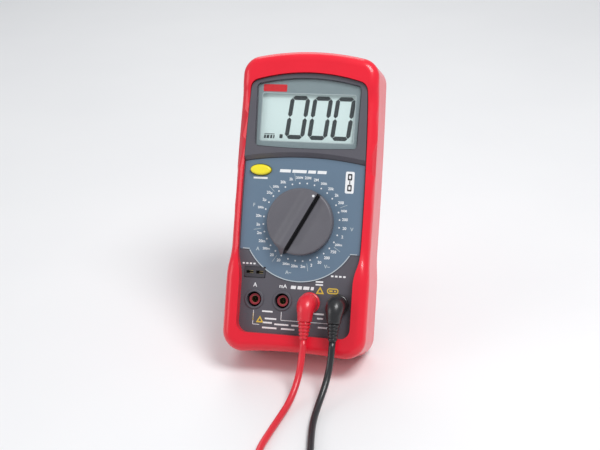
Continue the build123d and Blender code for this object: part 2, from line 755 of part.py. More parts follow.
# ---- tilt stand: a plate that folds flush into the holster's back -----------------------
HINGE_Y, HINGE_Z = STAND_HINGE
OPEN = Location((0, HINGE_Y, HINGE_Z), (STAND_OPEN, 0, 0)) * Location((0, -HINGE_Y, -HINGE_Z))
with BuildPart() as tilt_stand:
    with BuildSketch(Plane.XY.offset(HINGE_Z - STAND_THICK / 2)):
        with BuildLine():
            foot_y = HINGE_Y - STAND_LENGTH
            top_y = HINGE_Y + 1.2
            ThreePointArc((-19, foot_y), (0, foot_y - 0.01), (19, foot_y))
            for side in (1, -1):
                Line((side * 19, foot_y), (side * STAND_HALF, foot_y + 22))
                Line((side * STAND_HALF, foot_y + 22), (side * STAND_HALF, top_y))
            Line((-STAND_HALF, top_y), (STAND_HALF, top_y))
        make_face()
        with Locations((0, HINGE_Y - 46)):
            SlotOverall(58, 16, rotation=90, mode=Mode.SUBTRACT)
    extrude(amount=STAND_THICK)
    foot_edges = tilt_stand.edges().filter_by(lambda e: abs(e.center().Y - foot_y) < 0.1)
    fillet(foot_edges.filter_by(Axis.Z, reverse=True), radius=1.15)
    with BuildSketch(Plane.YZ.offset(-STAND_HALF - 3.0)):
        with Locations(STAND_HINGE):
            Circle(1.15)
    extrude(amount=2 * STAND_HALF + 6)
tilt_stand.part = OPEN * tilt_stand.part
finish("tilt_stand", tilt_stand)

# ---- test leads: right-angle shrouded plugs ------------------------------------------------
SHOULDER = FACE + 1.2       # underside of the plug's head, clear of the socket's lip
HEAD_RADIUS = 5.6
HEAD_END = 47.5
ARM_RADIUS = 4.3
ARM_END = 20.5
for colour, (x, y) in (("red", RED_SOCKET), ("black", BLACK_SOCKET)):
    with BuildPart() as plug_body:
        with BuildSketch(Plane.XY.offset(SHOULDER)):
            with Locations((x, y)):
                Circle(HEAD_RADIUS)
        extrude(amount=HEAD_END - SHOULDER)
        fillet(plug_body.edges().group_by(Axis.Z)[-1], radius=2.4)
        with BuildSketch(Plane.XZ.offset(-y)):
            with Locations((x, PLUG_ARM)):
                Circle(ARM_RADIUS)
        extrude(amount=y - ARM_END)
        with BuildSketch(Plane.XY.offset(16.6)):
            with Locations((x, y)):
                Circle(4.2)
                Circle(3.55, mode=Mode.SUBTRACT)
        extrude(amount=SHOULDER - 16.6)
        with BuildSketch(Plane.XY.offset(SHOULDER - 1)):
            with Locations((x, y)):
                Circle(1.9)
        extrude(amount=6, mode=Mode.SUBTRACT)
    finish(f"{colour}_plug_body", plug_body)

    with BuildPart() as plug_pin:
        with BuildSketch(Plane.XY.offset(15.4)):
            with Locations((x, y)):
                Circle(1.88)
        extrude(amount=SHOULDER + 4.5 - 15.4)
        fillet(plug_pin.edges().group_by(Axis.Z)[0], radius=0.8)
    finish(f"{colour}_plug_pin", plug_pin)

    with BuildPart() as plug_relief:
        with BuildSketch(Plane.XZ.offset(-ARM_END)):
            with Locations((x, PLUG_ARM)):
                Circle(3.7)
        with BuildSketch(Plane.XZ.offset(-LEAD_EXIT)):
            with Locations((x, PLUG_ARM)):
                Circle(2.6)
        loft()
    finish(f"{colour}_plug_relief", plug_relief)


def fitted_radii(points):
    """One bend radius for each inner point of a route: as large as its two runs allow."""
    radii = []
    for before, here, after in zip(points, points[1:], points[2:]):
        into = Vector(*here) - Vector(*before)
        out = Vector(*after) - Vector(*here)
        turn = math.radians(into.get_angle(out))
        radii.append(0.45 * min(into.length, out.length) / math.tan(turn / 2))
    return radii


def lead_tube(points):
    """Round lead along straight runs and tangent arcs; returns its solid and its length."""
    radii = fitted_radii(points)
    path = FilletPolyline(*points, radius=radii, mode=Mode.PRIVATE)
    with BuildPart() as tube:
        with BuildLine():
            add(path)
        with BuildSketch(Plane(origin=path @ 0, z_dir=path % 0)):
            Circle(LEAD_RADIUS)
        sweep()
    print("bend radii", [round(r, 1) for r in radii], "length", round(path.length, 1))
    expected = math.pi * LEAD_RADIUS**2 * path.length
    print("tube volume over section times length", round(tube.part.volume / expected, 4))
    return tube.part, path.length


ON_TABLE = LEAD_RADIUS + 0.1
# The red and black leads drop from their plugs over the bumper to the table, and run forward to the coils.
RED_ROUTE = [
    (8.2, -66.3, 18.0),
    (7.2, -75.5, 9.0),
    (5.2, -88.0, 3.4),
    (2.4, -101.5, ON_TABLE),
    (0.2, -115.5, ON_TABLE),
    (-1.6, -129.0, ON_TABLE),
    (-0.6, -143.0, ON_TABLE),
    (2.6, -156.5, ON_TABLE),
    (6.6, -169.5, ON_TABLE),
    (9.2, -182.0, ON_TABLE),
    (9.7, -193.0, ON_TABLE),
]
BLACK_ROUTE = [
    (25.2, -66.4, 18.0),
    (23.8, -75.8, 9.0),
    (21.8, -88.5, 3.4),
    (21.8, -102.0, ON_TABLE),
    (23.8, -115.5, ON_TABLE),
    (26.4, -129.0, ON_TABLE),
    (26.0, -143.0, ON_TABLE),
    (22.8, -156.0, ON_TABLE),
    (18.2, -168.5, ON_TABLE),
    (15.2, -180.5, ON_TABLE),
    (14.3, -189.0, ON_TABLE),
]
# From the top of each coil the lead climbs over its own turns to the probe, which lies on both coils.
# Offsets from the coil's centre.
RED_TAIL = [
    (-20.8, -18.0, 7.6),
    (-25.6, -10.8, 8.8),
    (-26.0, -2.4, 10.0),
    (-22.2, 4.4, 11.2),
    (-15.4, 8.2, 12.4),
    (-8.0, 8.6, 13.2),
]
BLACK_TAIL = [
    (25.7, -9.4, 7.8),
    (27.4, -1.4, 9.0),
    (25.9, 6.9, 10.0),
    (21.0, 13.0, 10.8),
    (14.0, 16.6, 11.4),
    (6.5, 17.4, 11.8),
]


COIL_OUTER = COIL_MEAN + 7.0
COIL_INNER = COIL_MEAN - 7.0
COIL_TOP = 8.4
# The red probe lies level on the two coils. The black one rests on its finger guard, so it tilts.
RED_PROBE_REST = (13.3, 0.0)
BLACK_PROBE_REST = (12.05, 2.74)
for colour, socket, route, tail_offsets, coil, heading, (rest, tilt) in (
    ("red", RED_SOCKET, RED_ROUTE, RED_TAIL, RED_COIL, 1, RED_PROBE_REST),
    ("black", BLACK_SOCKET, BLACK_ROUTE, BLACK_TAIL, BLACK_COIL, -1, BLACK_PROBE_REST),
):
    tail_points = [(coil[0] + x, coil[1] + y, z) for x, y, z in tail_offsets]
    front, front_length = lead_tube([case_to_table(socket[0], LEAD_EXIT - 0.3, PLUG_ARM), *route])
    tail, tail_length = lead_tube(tail_points)
    with BuildPart() as lead:
        add(front)
        add(tail)
    finish(f"{colour}_lead", lead, standing=False)

    with BuildPart() as lead_coil:
        with BuildSketch(Plane.XY.offset(0.1)):
            with Locations(coil):
                Circle(COIL_OUTER)
                Circle(COIL_INNER, mode=Mode.SUBTRACT)
        extrude(amount=COIL_TOP - 0.1)
        fillet(lead_coil.edges(), radius=1.6)
    finish(f"{colour}_lead_coil", lead_coil, standing=False)

    # The wound length: 2.5 turns in, a quarter turn up, 2.5 turns out and a little more on the outside.
    wound = 2 * math.pi * (5 * COIL_MEAN + 0.25 * (COIL_MEAN - 5) + 0.15 * (COIL_MEAN + 5))
    print(colour, "lead length", round(front_length + tail_length + wound, 0))

    with BuildPart() as coil_tie:
        with BuildSketch(Plane.YZ.offset(coil[0] - 2.5)):
            with Locations((coil[1] - COIL_MEAN, COIL_TOP / 2)):
                RectangleRounded(16.2, COIL_TOP + 1.4, 2.2)
                RectangleRounded(14.9, COIL_TOP + 0.1, 1.7, mode=Mode.SUBTRACT)
            with Locations((coil[1] - COIL_MEAN, -5)):
                Rectangle(60, 10, mode=Mode.SUBTRACT)
        extrude(amount=5)
    finish(f"{colour}_coil_tie", coil_tie, standing=False)

    end_x, end_y, _ = tail_points[-1]
    facing = 0 if heading > 0 else 180
    probe_place = (
        Location((end_x + heading * 0.1, end_y, rest), (0, 0, facing))
        * Location((0, 0, 0), (0, -tilt, 0))
    )
    with BuildPart() as probe_relief:
        with BuildSketch(Plane.YZ):
            Circle(2.5)
        with BuildSketch(Plane.YZ.offset(12)):
            Circle(3.6)
        loft()
    probe_relief.part = probe_place * probe_relief.part
    finish(f"{colour}_probe_relief", probe_relief, standing=False)

    with BuildPart() as probe_handle:
        with BuildSketch(Plane.XZ):
            with BuildLine():
                Polyline((12, 0), (12, 4.2), (27, 4.85), (48, 4.3), (61, 4.6), (62, 6.5), (65, 6.5))
                Polyline((65, 6.5), (66, 3.6), (80, 2.7), (80, 0), (12, 0))
            make_face()
        revolve(axis=Axis.X)
    probe_handle.part = probe_place * probe_handle.part
    finish(f"{colour}_probe_handle", probe_handle, standing=False)

    with BuildPart() as probe_tip:
        with BuildSketch(Plane.XZ):
            with BuildLine():
                Polyline((80.0, 0), (80.0, 1.0), (95.5, 1.0), (98.0, 0.15), (98.0, 0), (80.0, 0))
            make_face()
        revolve(axis=Axis.X)
    probe_tip.part = probe_place * probe_tip.part
    finish(f"{colour}_probe_tip", probe_tip, standing=False)

meter_box = Compound([finished[name] for name in ("holster", "tilt_stand")]).bounding_box()
print("holster and stand, lowest point", round(meter_box.min.Z, 3), "top", round(meter_box.max.Z, 2))
print("front", round(meter_box.min.Y, 3), "back", round(meter_box.max.Y, 3))
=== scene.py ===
"""Handheld multimeter in a rubber holster, propped on its tilt stand with its two test leads plugged in."""

import json
import math

import bmesh
import bpy
from mathutils import Matrix, Vector


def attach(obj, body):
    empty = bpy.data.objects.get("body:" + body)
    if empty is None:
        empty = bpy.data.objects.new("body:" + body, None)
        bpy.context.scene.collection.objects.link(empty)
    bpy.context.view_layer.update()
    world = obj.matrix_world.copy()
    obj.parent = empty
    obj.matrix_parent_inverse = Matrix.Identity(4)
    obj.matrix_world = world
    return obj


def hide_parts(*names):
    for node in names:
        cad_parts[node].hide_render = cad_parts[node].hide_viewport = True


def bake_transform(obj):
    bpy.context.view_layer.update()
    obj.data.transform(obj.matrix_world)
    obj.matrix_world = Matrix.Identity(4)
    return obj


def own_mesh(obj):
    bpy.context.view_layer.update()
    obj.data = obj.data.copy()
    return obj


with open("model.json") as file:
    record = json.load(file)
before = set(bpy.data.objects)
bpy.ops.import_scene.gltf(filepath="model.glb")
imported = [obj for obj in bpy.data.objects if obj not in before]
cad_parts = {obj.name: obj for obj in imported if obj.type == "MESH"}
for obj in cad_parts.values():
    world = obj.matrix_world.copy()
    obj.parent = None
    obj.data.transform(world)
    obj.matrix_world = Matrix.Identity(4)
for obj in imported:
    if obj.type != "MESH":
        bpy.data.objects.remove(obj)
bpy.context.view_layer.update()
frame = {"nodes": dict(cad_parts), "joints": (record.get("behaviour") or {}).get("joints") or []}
bpy.context.scene.view_settings.view_transform = "Standard"

# ---- Studio -------------------------------------------------------------------
# A pale table top, a soft key light above and to the right, a fill from the left, a light from behind, and
# a camera to the right of the meter, a little below its face's own direction.
LOOK_AT = Vector((-0.0059, 0.0024, 0.0695))
VIEW_DISTANCE = 0.70
VIEW_AZIMUTH = math.radians(14.65)
VIEW_HEIGHT = math.radians(27.0)
VIEW_ROLL = math.radians(-3.5)
VIEW_WIDTH = math.radians(29.26)


def aimed(place, target, roll=0.0):
    """Matrix of something at place whose -Z axis points at target."""
    back = (place - target).normalized()
    right = Vector((0, 0, 1)).cross(back).normalized()
    above = back.cross(right)
    turned = right * math.cos(roll) + above * math.sin(roll)
    above = above * math.cos(roll) - right * math.sin(roll)
    matrix = Matrix((turned, above, back)).transposed().to_4x4()
    matrix.translation = place
    return matrix


view_from = Vector((
    math.cos(VIEW_HEIGHT) * math.sin(VIEW_AZIMUTH),
    -math.cos(VIEW_HEIGHT) * math.cos(VIEW_AZIMUTH),
    math.sin(VIEW_HEIGHT),
))
camera = bpy.data.objects.new("camera", bpy.data.cameras.new("camera"))
camera.data.angle = VIEW_WIDTH
camera.data.clip_start = 0.01
camera.matrix_world = aimed(LOOK_AT + view_from * VIEW_DISTANCE, LOOK_AT, VIEW_ROLL)
bpy.context.scene.collection.objects.link(camera)
bpy.context.scene.camera = camera

for light_name, place, size, power in (
    ("key_light", (0.42, -0.20, 0.95), 0.42, 7.2),
    ("fill_light", (-0.95, -0.55, 0.50), 0.60, 2.6),
    ("back_light", (-0.25, 0.80, 0.80), 0.60, 2.6),
):
    lamp = bpy.data.lights.new(light_name, "AREA")
    lamp.size = size
    lamp.energy = power
    light = bpy.data.objects.new(light_name, lamp)
    light.matrix_world = aimed(Vector(place), Vector((0, 0, 0.06)))
    bpy.context.scene.collection.objects.link(light)

sky = bpy.data.worlds.new("studio")
sky.use_nodes = True
sky.node_tree.nodes["Background"].inputs["Color"].default_value = (0.93, 0.96, 1.0, 1)
sky.node_tree.nodes["Background"].inputs["Strength"].default_value = 0.46
bpy.context.scene.world = sky


class Field:
    """A value that varies over a surface. Arithmetic on it adds Math nodes."""

    def __init__(self, surface, socket):
        self.surface = surface
        self.socket = socket

    def maths(self, operation, *values):
        sockets = dict(enumerate(values))
        return self.surface.node("Math", {"operation": operation}, sockets)

    def __add__(self, other):
        return self.maths("ADD", self, other)

    def __sub__(self, other):
        return self.maths("SUBTRACT", self, other)

    def __rsub__(self, other):
        return self.maths("SUBTRACT", other, self)

    def __mul__(self, other):
        return self.maths("MULTIPLY", self, other)

    def __gt__(self, other):
        return self.maths("GREATER_THAN", self, other)

    __radd__ = __add__
    __rmul__ = __mul__


class Surface:
    """One finish: a material, its Principled shader and the nodes that feed it."""

    def __init__(self, name, **settings):
        self.material = bpy.data.materials.new(name)
        self.material.use_nodes = True
        self.tree = self.material.node_tree
        self.shader = self.tree.nodes["Principled BSDF"]
        for words, value in settings.items():
            self.feed(self.shader.inputs[words.replace("_", " ").title()], value)

    def feed(self, socket, value):
        if isinstance(value, Field):
            self.tree.links.new(value.socket, socket)
        elif isinstance(value, tuple) and len(value) == 3 and socket.type == "RGBA":
            socket.default_value = (*value, 1)
        else:
            socket.default_value = value

    def node(self, kind, settings=None, sockets=None, output=0):
        made = self.tree.nodes.new("ShaderNode" + kind)
        for key, value in (settings or {}).items():
            if key == "stops":
                for _ in value[2:]:
                    made.color_ramp.elements.new(0.5)
                for element, (place, colour) in zip(made.color_ramp.elements, value):
                    element.position = place
                    element.color = (*colour, 1)
            else:
                setattr(made, key, value)
        for key, value in (sockets or {}).items():
            self.feed(made.inputs[key], value)
        return Field(self, made.outputs[output])

    def noise(self, scale, detail=3.0, stretch=(1, 1, 1)):
        """Noise over the object's own space; scale is in blotches a metre."""
        place = self.node("TexCoord", output=3)
        place = self.node("Mapping", None, {"Vector": place, "Scale": stretch})
        return self.node("TexNoise", None, {"Vector": place, "Scale": scale, "Detail": detail})

    def tint(self, factor, low, high):
        """A colour between low and high."""
        sockets = {0: factor, 6: (*low, 1), 7: (*high, 1)}
        return self.node("Mix", {"data_type": "RGBA"}, sockets, output=2)

    def bump(self, height, depth, strength=1.0):
        """Raises the surface by height times depth in metres."""
        sockets = {"Height": height, "Distance": depth, "Strength": strength}
        self.feed(self.shader.inputs["Normal"], self.node("Bump", None, sockets))


def shade(colour, amount):
    """The same colour, darker or lighter."""
    return tuple(min(1.0, c * amount) for c in colour)


def moulded(name, colour, roughness, grain=0.00002, grain_scale=3500, coat=0.0):
    """Moulded plastic or rubber: a fine texture, faint mottling and handling marks in the gloss."""
    finish = Surface(name, coat_weight=coat, coat_roughness=0.12)
    blotches = finish.noise(55, 4)
    finish.feed(
        finish.shader.inputs["Base Color"],
        finish.tint(blotches, shade(colour, 0.86), shade(colour, 1.12)),
    )
    # glossier patches than this come out as dark specks
    glossiest = 0.27
    rubbed = finish.noise(160, 5)
    finish.feed(finish.shader.inputs["Roughness"], rubbed * 0.14 + max(roughness - 0.07, glossiest))
    finish.bump(finish.noise(grain_scale, 2), grain)
    return finish.material


def add_mesh(name, data, material):
    """Links a mesh as an object, with smooth faces and one material."""
    piece = bpy.data.objects.new(name, data)
    bpy.context.scene.collection.objects.link(piece)
    data.materials.append(material)
    data.shade_smooth()
    return piece


def finish_node(node, material):
    """Gives a CAD piece its finish."""
    piece = frame["nodes"][node]
    for index in range(max(1, len(piece.material_slots))):
        if not piece.material_slots:
            piece.data.materials.append(material)
        piece.material_slots[index].material = material


table = bpy.data.meshes.new("table_top")
reach = 3.0
table.from_pydata(
    [(-reach, -reach, 0), (reach, -reach, 0), (reach, reach, 0), (-reach, reach, 0)],
    [], [(0, 1, 2, 3)],
)
table_finish = Surface("table_finish", roughness=0.55)
table_finish.feed(
    table_finish.shader.inputs["Base Color"],
    table_finish.tint(table_finish.noise(6, 3), (0.80, 0.80, 0.81), (0.86, 0.86, 0.86)),
)
add_mesh("table_top", table, table_finish.material)

# ---- Test leads ------------------------------------------------------------------
# Two flexible leads of soft plastic over fine copper strands. Each drops from its plug over the holster's
# bumper to the table, runs forward, and is wound up in two layers; the end goes back to its probe.
turn = next(j for j in frame["joints"] if j["name"] == "knob_turn")
OUT = Vector(turn["axis"])
ACROSS = Vector((1, 0, 0))
UP = OUT.cross(ACROSS)
KNOB_CENTRE = Vector((0, 0.078, 0.032))         # where the knob's joint is, in the case's own axes
ORIGIN = Vector(turn["pos_m"]) - UP * KNOB_CENTRE.y - OUT * KNOB_CENTRE.z


def on_case(x, y, z):
    """A point of the case, in metres across its face, up it and out of it, at rest."""
    return ORIGIN + ACROSS * x + UP * y + OUT * z


LEAD_RADIUS = 0.0020
LEAD_SIDES = 14
ON_TABLE = 0.0021
SECOND_LAYER = 0.0061
COIL_OUTER = 0.027
COIL_INNER = 0.017
TURN_POINTS = 16
TURNS_EACH_WAY = 2.5
EXIT_HEIGHT = 0.042
EXIT_UP = 0.010


def coil_turns(centre, start_angle, way, last_steps):
    """Points of the wound-up length: 2.5 turns inwards, a quarter turn up, 2.5 turns outwards and a bit."""
    # a spline of order 3 runs this much inside its control points
    inside = (1 + 3 * math.cos(math.tau / TURN_POINTS)) / 4
    steps_in = int(TURNS_EACH_WAY * TURN_POINTS)
    steps_up = TURN_POINTS // 4
    both_layers = 2 * steps_in + steps_up
    points = []
    for step in range(1, both_layers + last_steps + 1):
        angle = start_angle + way * math.tau * step / TURN_POINTS
        wound = max(0, min(step, steps_in, both_layers - step)) / steps_in
        radius = (COIL_OUTER + (COIL_INNER - COIL_OUTER) * wound) / inside
        risen = min(max((step - steps_in) / steps_up, 0), 1)
        height = ON_TABLE + (SECOND_LAYER - ON_TABLE) * risen
        points.append((centre[0] + radius * math.cos(angle), centre[1] + radius * math.sin(angle), height))
    return points


def line_of(points, name):
    """Points read along the smooth line that has the given control points."""
    curve = bpy.data.curves.new(name, "CURVE")
    curve.dimensions = "3D"
    curve.resolution_u = 6
    spline = curve.splines.new("NURBS")
    spline.points.add(len(points) - 1)
    for slot, point in zip(spline.points, points):
        slot.co = (*point, 1)
    spline.order_u = 3
    spline.use_endpoint_u = True
    carrier = bpy.data.objects.new(name, curve)
    bpy.context.scene.collection.objects.link(carrier)
    bpy.context.view_layer.update()
    read = bpy.data.meshes.new_from_object(carrier)
    line = [v.co.copy() for v in read.vertices]
    bpy.data.objects.remove(carrier)
    bpy.data.meshes.remove(read)
    return line


def tube(name, line, radius, sides, material):
    """A round tube along a line, closed at its ends. The radius is one number or one for each point."""
    radii = radius if isinstance(radius, list) else [radius] * len(line)
    data = bpy.data.meshes.new(name)
    rings, faces = [], []
    side = Vector((1, 0, 0))
    for index, here in enumerate(line):
        along = (line[min(index + 1, len(line) - 1)] - line[max(index - 1, 0)]).normalized()
        side = (side - along * side.dot(along)).normalized()
        other = along.cross(side)
        for corner in range(sides):
            angle = math.tau * corner / sides
            rings.append(here + (side * math.cos(angle) + other * math.sin(angle)) * radii[index])
    for index in range(len(line) - 1):
        for corner in range(sides):
            after = (corner + 1) % sides
            low, high = index * sides, (index + 1) * sides
            faces.append((low + corner, low + after, high + after, high + corner))
    faces.append(tuple(range(sides))[::-1])
    faces.append(tuple(range((len(line) - 1) * sides, len(line) * sides)))
    data.from_pydata(rings, [], faces)
    return add_mesh(name, data, material)


RED_SOFT = (0.72, 0.018, 0.035)
BLACK_SOFT = (0.016, 0.016, 0.018)
soft_finish = {
    "red": moulded("red_soft_plastic", RED_SOFT, 0.30, grain=0.00001, coat=0.25),
    "black": moulded("black_soft_plastic", BLACK_SOFT, 0.28, grain=0.00001, coat=0.25),
}
LEADS = {
    "red": {
        "socket": 0.0085,
        "length": 0.96,
        "coil": (-0.0173, -0.2000),
        "start": math.radians(14.5),
        "way": -1,
        "last_steps": 2,
        "route": [
            (0.0082, -0.0663, 0.0180),
            (0.0072, -0.0755, 0.0090),
            (0.0052, -0.0880, 0.0034),
            (0.0024, -0.1015, ON_TABLE),
            (0.0002, -0.1155, ON_TABLE),
            (-0.0016, -0.1290, ON_TABLE),
            (-0.0006, -0.1430, ON_TABLE),
            (0.0026, -0.1565, ON_TABLE),
            (0.0066, -0.1695, ON_TABLE),
            (0.0092, -0.1820, ON_TABLE),
            (0.0097, -0.1930, ON_TABLE),
        ],
        "tail": [
            (-0.0208, -0.0180, 0.0076),
            (-0.0256, -0.0108, 0.0088),
            (-0.0260, -0.0024, 0.0100),
            (-0.0222, 0.0044, 0.0112),
            (-0.0154, 0.0082, 0.0124),
            (-0.0080, 0.0086, 0.0132),
        ],
    },
    "black": {
        "socket": 0.0255,
        "length": 0.97,
        "coil": (0.0413, -0.1950),
        "start": math.radians(167.5),
        "way": 1,
        "last_steps": 3,
        "route": [
            (0.0252, -0.0664, 0.0180),
            (0.0238, -0.0758, 0.0090),
            (0.0218, -0.0885, 0.0034),
            (0.0218, -0.1020, ON_TABLE),
            (0.0238, -0.1155, ON_TABLE),
            (0.0264, -0.1290, ON_TABLE),
            (0.0260, -0.1430, ON_TABLE),
            (0.0228, -0.1560, ON_TABLE),
            (0.0182, -0.1685, ON_TABLE),
            (0.0152, -0.1805, ON_TABLE),
            (0.0143, -0.1890, ON_TABLE),
        ],
        "tail": [
            (0.0257, -0.0094, 0.0078),
            (0.0274, -0.0014, 0.0090),
            (0.0259, 0.0069, 0.0100),
            (0.0210, 0.0130, 0.0108),
            (0.0140, 0.0166, 0.0114),
            (0.0065, 0.0174, 0.0118),
        ],
    },
}
for colour, lead in LEADS.items():
    leaves = on_case(lead["socket"], EXIT_UP, EXIT_HEIGHT)
    centre = lead["coil"]
    points = [leaves, *lead["route"]]
    points += coil_turns(centre, lead["start"], lead["way"], lead["last_steps"])
    points += [(centre[0] + x, centre[1] + y, z) for x, y, z in lead["tail"]]
    line = line_of(points, f"{colour}_lead_line")
    cable = tube(f"{colour}_lead_cable", line, LEAD_RADIUS, LEAD_SIDES, soft_finish[colour])
    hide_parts(f"{colour}_lead", f"{colour}_lead_coil")
    leaves + Vector((0, -0.002, 0))
    leaves + Vector((0, -0.045, 0))
    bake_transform(cable)
    lead["cable"], lead["line"], lead["leaves"] = cable, line, leaves

# ---- Holster ----------------------------------------------------------------------
# One thick moulding of soft rubber with a glossy skin. It is stretched over the closed case, and its raised
# bumpers guard both ends of the face.
HOLSTER_RED = (0.80, 0.010, 0.030)
holster_rubber = Surface("holster_rubber", coat_weight=0.40, coat_roughness=0.06)
cloudy = holster_rubber.noise(38, 4)
holster_rubber.feed(
    holster_rubber.shader.inputs["Base Color"],
    holster_rubber.tint(cloudy, shade(HOLSTER_RED, 0.93), shade(HOLSTER_RED, 1.07)),
)
fingered = holster_rubber.noise(70, 2)
holster_rubber.feed(holster_rubber.shader.inputs["Roughness"], fingered * 0.10 + 0.28)
holster_rubber.shader.inputs["Specular IOR Level"].default_value = 0.32
holster_rubber.bump(holster_rubber.noise(900, 3), 0.000008)
finish_node("holster", holster_rubber.material)

# ---- Rear case, battery door and battery ----------------------------------------------
# Two dark grey shells of ABS with a spark-eroded texture. The rear one holds a 9 V block behind a door that
# one screw keeps shut.
CASE_GREY = (0.098, 0.094, 0.112)
case_finish = moulded("case_plastic", CASE_GREY, 0.46, grain=0.00003, grain_scale=2600)
finish_node("rear_case", case_finish)
finish_node("battery_door", moulded("door_plastic", shade(CASE_GREY, 0.9), 0.50, grain=0.00003))

jacket = Surface("battery_jacket", metallic=0.6)
printed = jacket.noise(90, 2, stretch=(1, 1, 0.2))
jacket.feed(jacket.shader.inputs["Base Color"], jacket.tint(printed, (0.03, 0.03, 0.04), (0.09, 0.09, 0.11)))
jacket.feed(jacket.shader.inputs["Roughness"], jacket.noise(300, 4) * 0.2 + 0.22)
finish_node("battery", jacket.material)
snap_finish = moulded("snap_plastic", (0.02, 0.02, 0.022), 0.35, grain=0.00001)
finish_node("battery_snap", snap_finish)
finish_node("battery_leads", snap_finish)


def metal(name, colour, roughness, grain=(1, 1, 12), depth=0.000006):
    """Bare or plated metal with fine marks drawn out along one way."""
    bright = Surface(name, metallic=1.0)
    drawn = bright.noise(700, 4, stretch=grain)
    bright.feed(
        bright.shader.inputs["Base Color"],
        bright.tint(bright.noise(60, 3), shade(colour, 0.86), shade(colour, 1.05)),
    )
    bright.feed(bright.shader.inputs["Roughness"], drawn * 0.22 + (roughness - 0.11))
    bright.bump(drawn, depth)
    return bright.material


zinc = metal("plated_steel", (0.66, 0.66, 0.68), 0.30)
for node in ("battery_door_screw", "case_screws", "board_screws"):
    finish_node(node, zinc)

# ---- Boards and what is on them ----------------------------------------------------------
# Green glass-fibre boards with the converter under its chip, capacitors, resistors, ceramic fuses in their
# clips, the shunt, the buzzer and a foil shield, all of them inside the closed case.
board = Surface("circuit_board", coat_weight=0.3, coat_roughness=0.2)
copper = board.noise(420, 1, stretch=(1, 3, 3)) > 0.54
board.feed(board.shader.inputs["Base Color"], board.tint(copper, (0.010, 0.085, 0.030), (0.025, 0.16, 0.06)))
board.feed(board.shader.inputs["Roughness"], copper * 0.08 + 0.36)
board.bump(copper, 0.00003)
for node in ("main_board", "display_board"):
    finish_node(node, board.material)
chip_finish = moulded("chip_plastic", (0.022, 0.022, 0.024), 0.55, grain=0.00002)
for node in ("converter_chip", "power_switch", "buzzer"):
    finish_node(node, chip_finish)
finish_node("capacitors", moulded("capacitor_sleeve", (0.02, 0.06, 0.22), 0.30, grain=0.00001))
finish_node("board_connector", moulded("connector_plastic", (0.03, 0.03, 0.034), 0.5))
finish_node("lcd_frame", moulded("display_frame_plastic", (0.05, 0.05, 0.055), 0.5))

banded = Surface("resistor_lacquer", roughness=0.32)
bands = banded.noise(900, 0, stretch=(1, 0.02, 0.02)) > 0.6
banded.feed(banded.shader.inputs["Base Color"], banded.tint(bands, (0.42, 0.30, 0.16), (0.20, 0.04, 0.02)))
banded.bump(banded.noise(1500, 2), 0.00001)
finish_node("resistors", banded.material)

stripes = Surface("zebra_rubber", roughness=0.6)
striped = stripes.node("TexWave", {"bands_direction": "X"}, {
    "Vector": stripes.node("TexCoord", output=3), "Scale": 500.0, "Distortion": 0.0,
})
stripes.feed(
    stripes.shader.inputs["Base Color"],
    stripes.tint(striped > 0.5, (0.62, 0.22, 0.26), (0.03, 0.03, 0.03)),
)
stripes.bump(stripes.noise(2200, 2), 0.00001)
finish_node("zebra_strips", stripes.material)

glazed = Surface("fuse_ceramic", coat_weight=0.5, coat_roughness=0.08, roughness=0.4)
glazed.feed(
    glazed.shader.inputs["Base Color"],
    glazed.tint(glazed.noise(120, 3), (0.74, 0.71, 0.64), (0.86, 0.84, 0.79)),
)
glazed.bump(glazed.noise(900, 2), 0.00001)
finish_node("fuses", glazed.material)
spring_steel = metal("spring_steel", (0.56, 0.57, 0.60), 0.26, grain=(6, 6, 6))
for node in ("fuse_clips", "click_springs", "click_balls"):
    finish_node(node, spring_steel)
finish_node("shunt_wire", metal("shunt_wire", (0.50, 0.33, 0.22), 0.35, grain=(12, 1, 1)))
finish_node("shield_plate", metal("shield_foil", (0.72, 0.73, 0.75), 0.34, grain=(14, 1, 1), depth=0.00001))
acetal = moulded("acetal", (0.66, 0.65, 0.60), 0.42, grain=0.00001)
for node in ("switch_plunger", "switch_rotor"):
    finish_node(node, acetal)

# ---- Front case --------------------------------------------------------------------------
# The shell that carries the face: a raised housing round the display with a crescent step under it, the
# wells of the input sockets with their lips, and the hooded socket for components.
finish_node("front_case", case_finish)
finish_node("component_socket", moulded("socket_block_plastic", shade(CASE_GREY, 0.55), 0.42))

# ---- Display -----------------------------------------------------------------------------
# A liquid crystal cell with slanted digits behind a clear lens. The lens is printed on its back with a pale
# border, and a small red bar stands at its upper left. Sizes from here on are in the case's millimetres.
CASE = Matrix((ACROSS, UP, OUT)).transposed().to_4x4()
CASE.translation = ORIGIN
CASE = CASE @ Matrix.Scale(0.001, 4)
CELL_FACE = 29.2
LENS_BACK = 31.2
LIT_AREA = (-28.0, 125.4, 28.0, 153.6)
BOLD = 0.05         # numerals and letters are this much fatter all round than the plain typeface


